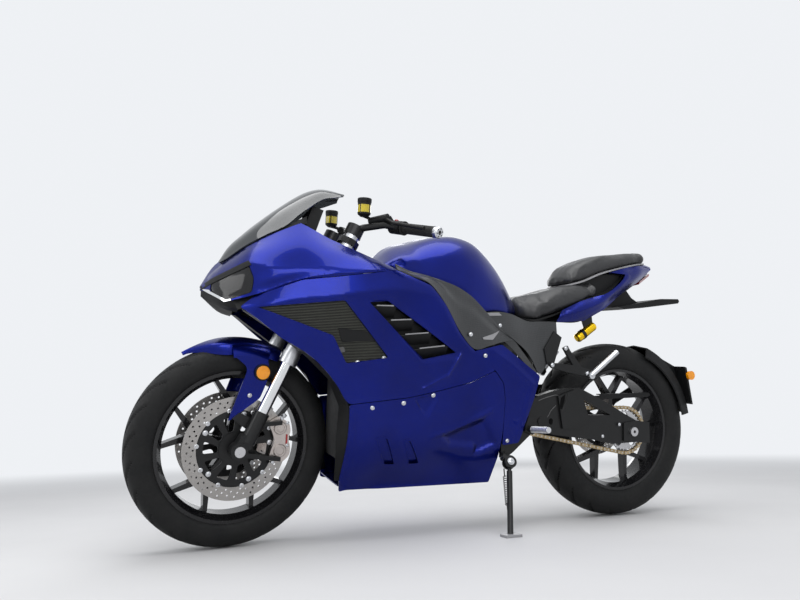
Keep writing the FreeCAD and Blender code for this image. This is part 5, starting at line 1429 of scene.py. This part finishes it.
def arm_and_pegs():
    """Knurled sleeves of the rider's pegs, and the ribs and hollows of the swingarm; the hollows are
    near-black plates as painted shade.
    """
    p, q = Vector((446, 157, 334)), Vector((436, 248, 342))
    prof = knurled([(12, 9.1), (13, 10.6)], 16.0, 84, 6.8, [(0, 10.6), (0.8, 9.9), (2.4, 9.9), (3.2, 10.6)])
    prof += [(90, 10.6), (93.0, 9.2), (93.0, 0.5)]
    piece("peg_sleeves", Shape().pair(*lathe(prof, p, q - p, 28)), ["silver"], angle=40)
    lines = Shape()
    for pts, y, radius, mat in (
            ([(397, 421), (390, 425), (367, 433), (344, 439), (323, 443), (312, 441)], 126.2, 1.3, 0),
            ([(392, 344), (372, 359), (353, 374), (344, 389), (324, 407)], 126.2, 1.3, 0),
            ([(278, 450), (286, 427), (297, 405), (305, 390), (308, 388)], 134.2, 1.5, 1)):
        lines.pair(*tube(along([(x, y, z) for x, z in pts], 16), radius, 8), mat)
    # The hollows are thin near-black plates: painted shade in the recesses
    for hollow, y, edge_step in (
            ([(310, 396), (312, 410), (308, 434), (290, 447), (293, 425), (304, 396)], 133.6, 5.0),
            ([(350, 362), (342, 366), (335, 360), (337, 345), (346, 343), (352, 351)], 125.6, 4.0)):
        lines.pair(*plate(rounded(hollow, 3), y, y + 0.9, 14.0, edge_step), 2)
    piece("swingarm_lines", lines, ["grey_tab", "black_frame", "painted_recess_shade"], angle=30)


def stop_button():
    button = lathe([(0, 6.5), (4, 6.5), (6, 5.0), (6.5, 2.0)], (957, 181, 984), (-0.25, 0.0, 0.97))
    piece("stop_button", Shape().put(*button), ["red_lens"], "steering")


def fasteners():
    """Screws of the fairing, belly, spar covers and trims."""
    pale = Shape()
    for x, z, lift in ((1056, 542, -6.4), (976, 556, -6.4), (1003, 412, -0.4), (908, 425, -0.4),
                       (812, 448, -0.4), (690, 636, 1.6)):
        pale.pair(*bolt((x, flank.at(x, z) + lift, z), 5.4, 3.6))
    pale.pair(*bolt((629, cover_skin.at(641, 575) + 3.4, 571), 5.4, 3.6))
    pale.pair(*bolt((532, cover_skin.at(532, 300) + 1.6, 300), 5.0, 3.4))
    pale.pair(*bolt((557, 151.5, 671), 5.0, 3.4))
    piece("body_screws", pale, ["silver"])


# The pieces are made in this order.
side_bodywork()
vents()
nose()
screen_and_tank()
trims()
tail()
seats()
tyre("tyre_front", "front_tyre", "front_wheel", tuple(FRONT_AXLE), FRONT_R, 110.0, 22)
tyre("tyre_rear", "rear_tyre", "rear_wheel", tuple(REAR_AXLE), REAR_R, 145.0, 20)
discs()
chain()
fender()
bars()
reservoirs()
front_brakes()
rear_details()
stand_details()
arm_and_pegs()
stop_button()
fasteners()

# CAD nodes that stay are shaded smoothly and get softened edges.
EDGES = {"frame": 1.2, "swingarm": 2.5, "fork_feet": 2.0, "front_rim": 1.4, "rear_rim": 1.6, "controls": 1.2,
         "triple_clamps": 1.5, "rear_caliper": 1.6, "peg_hangers": 1.4, "pillion_pegs": 0.8,
         "chain_guard": 0.8, "tail_plate": 0.8, "rear_guard": 0.8, "stand_leg": 1.0, "inner_panels": 0.6,
         "battery_block": 2.0, "motor": 2.0, "subframe": 1.0, "dash_panel": 1.5, "rear_sprocket": 0.5,
         "tail_lamp": 0.8, "fork_tubes": 1.0, "rear_shock": 0.8, "rear_reflectors": 0.8}
for name, obj in nodes.items():
    smooth_by_angle(obj.data)
    if name in EDGES:
        soften(obj, EDGES[name])
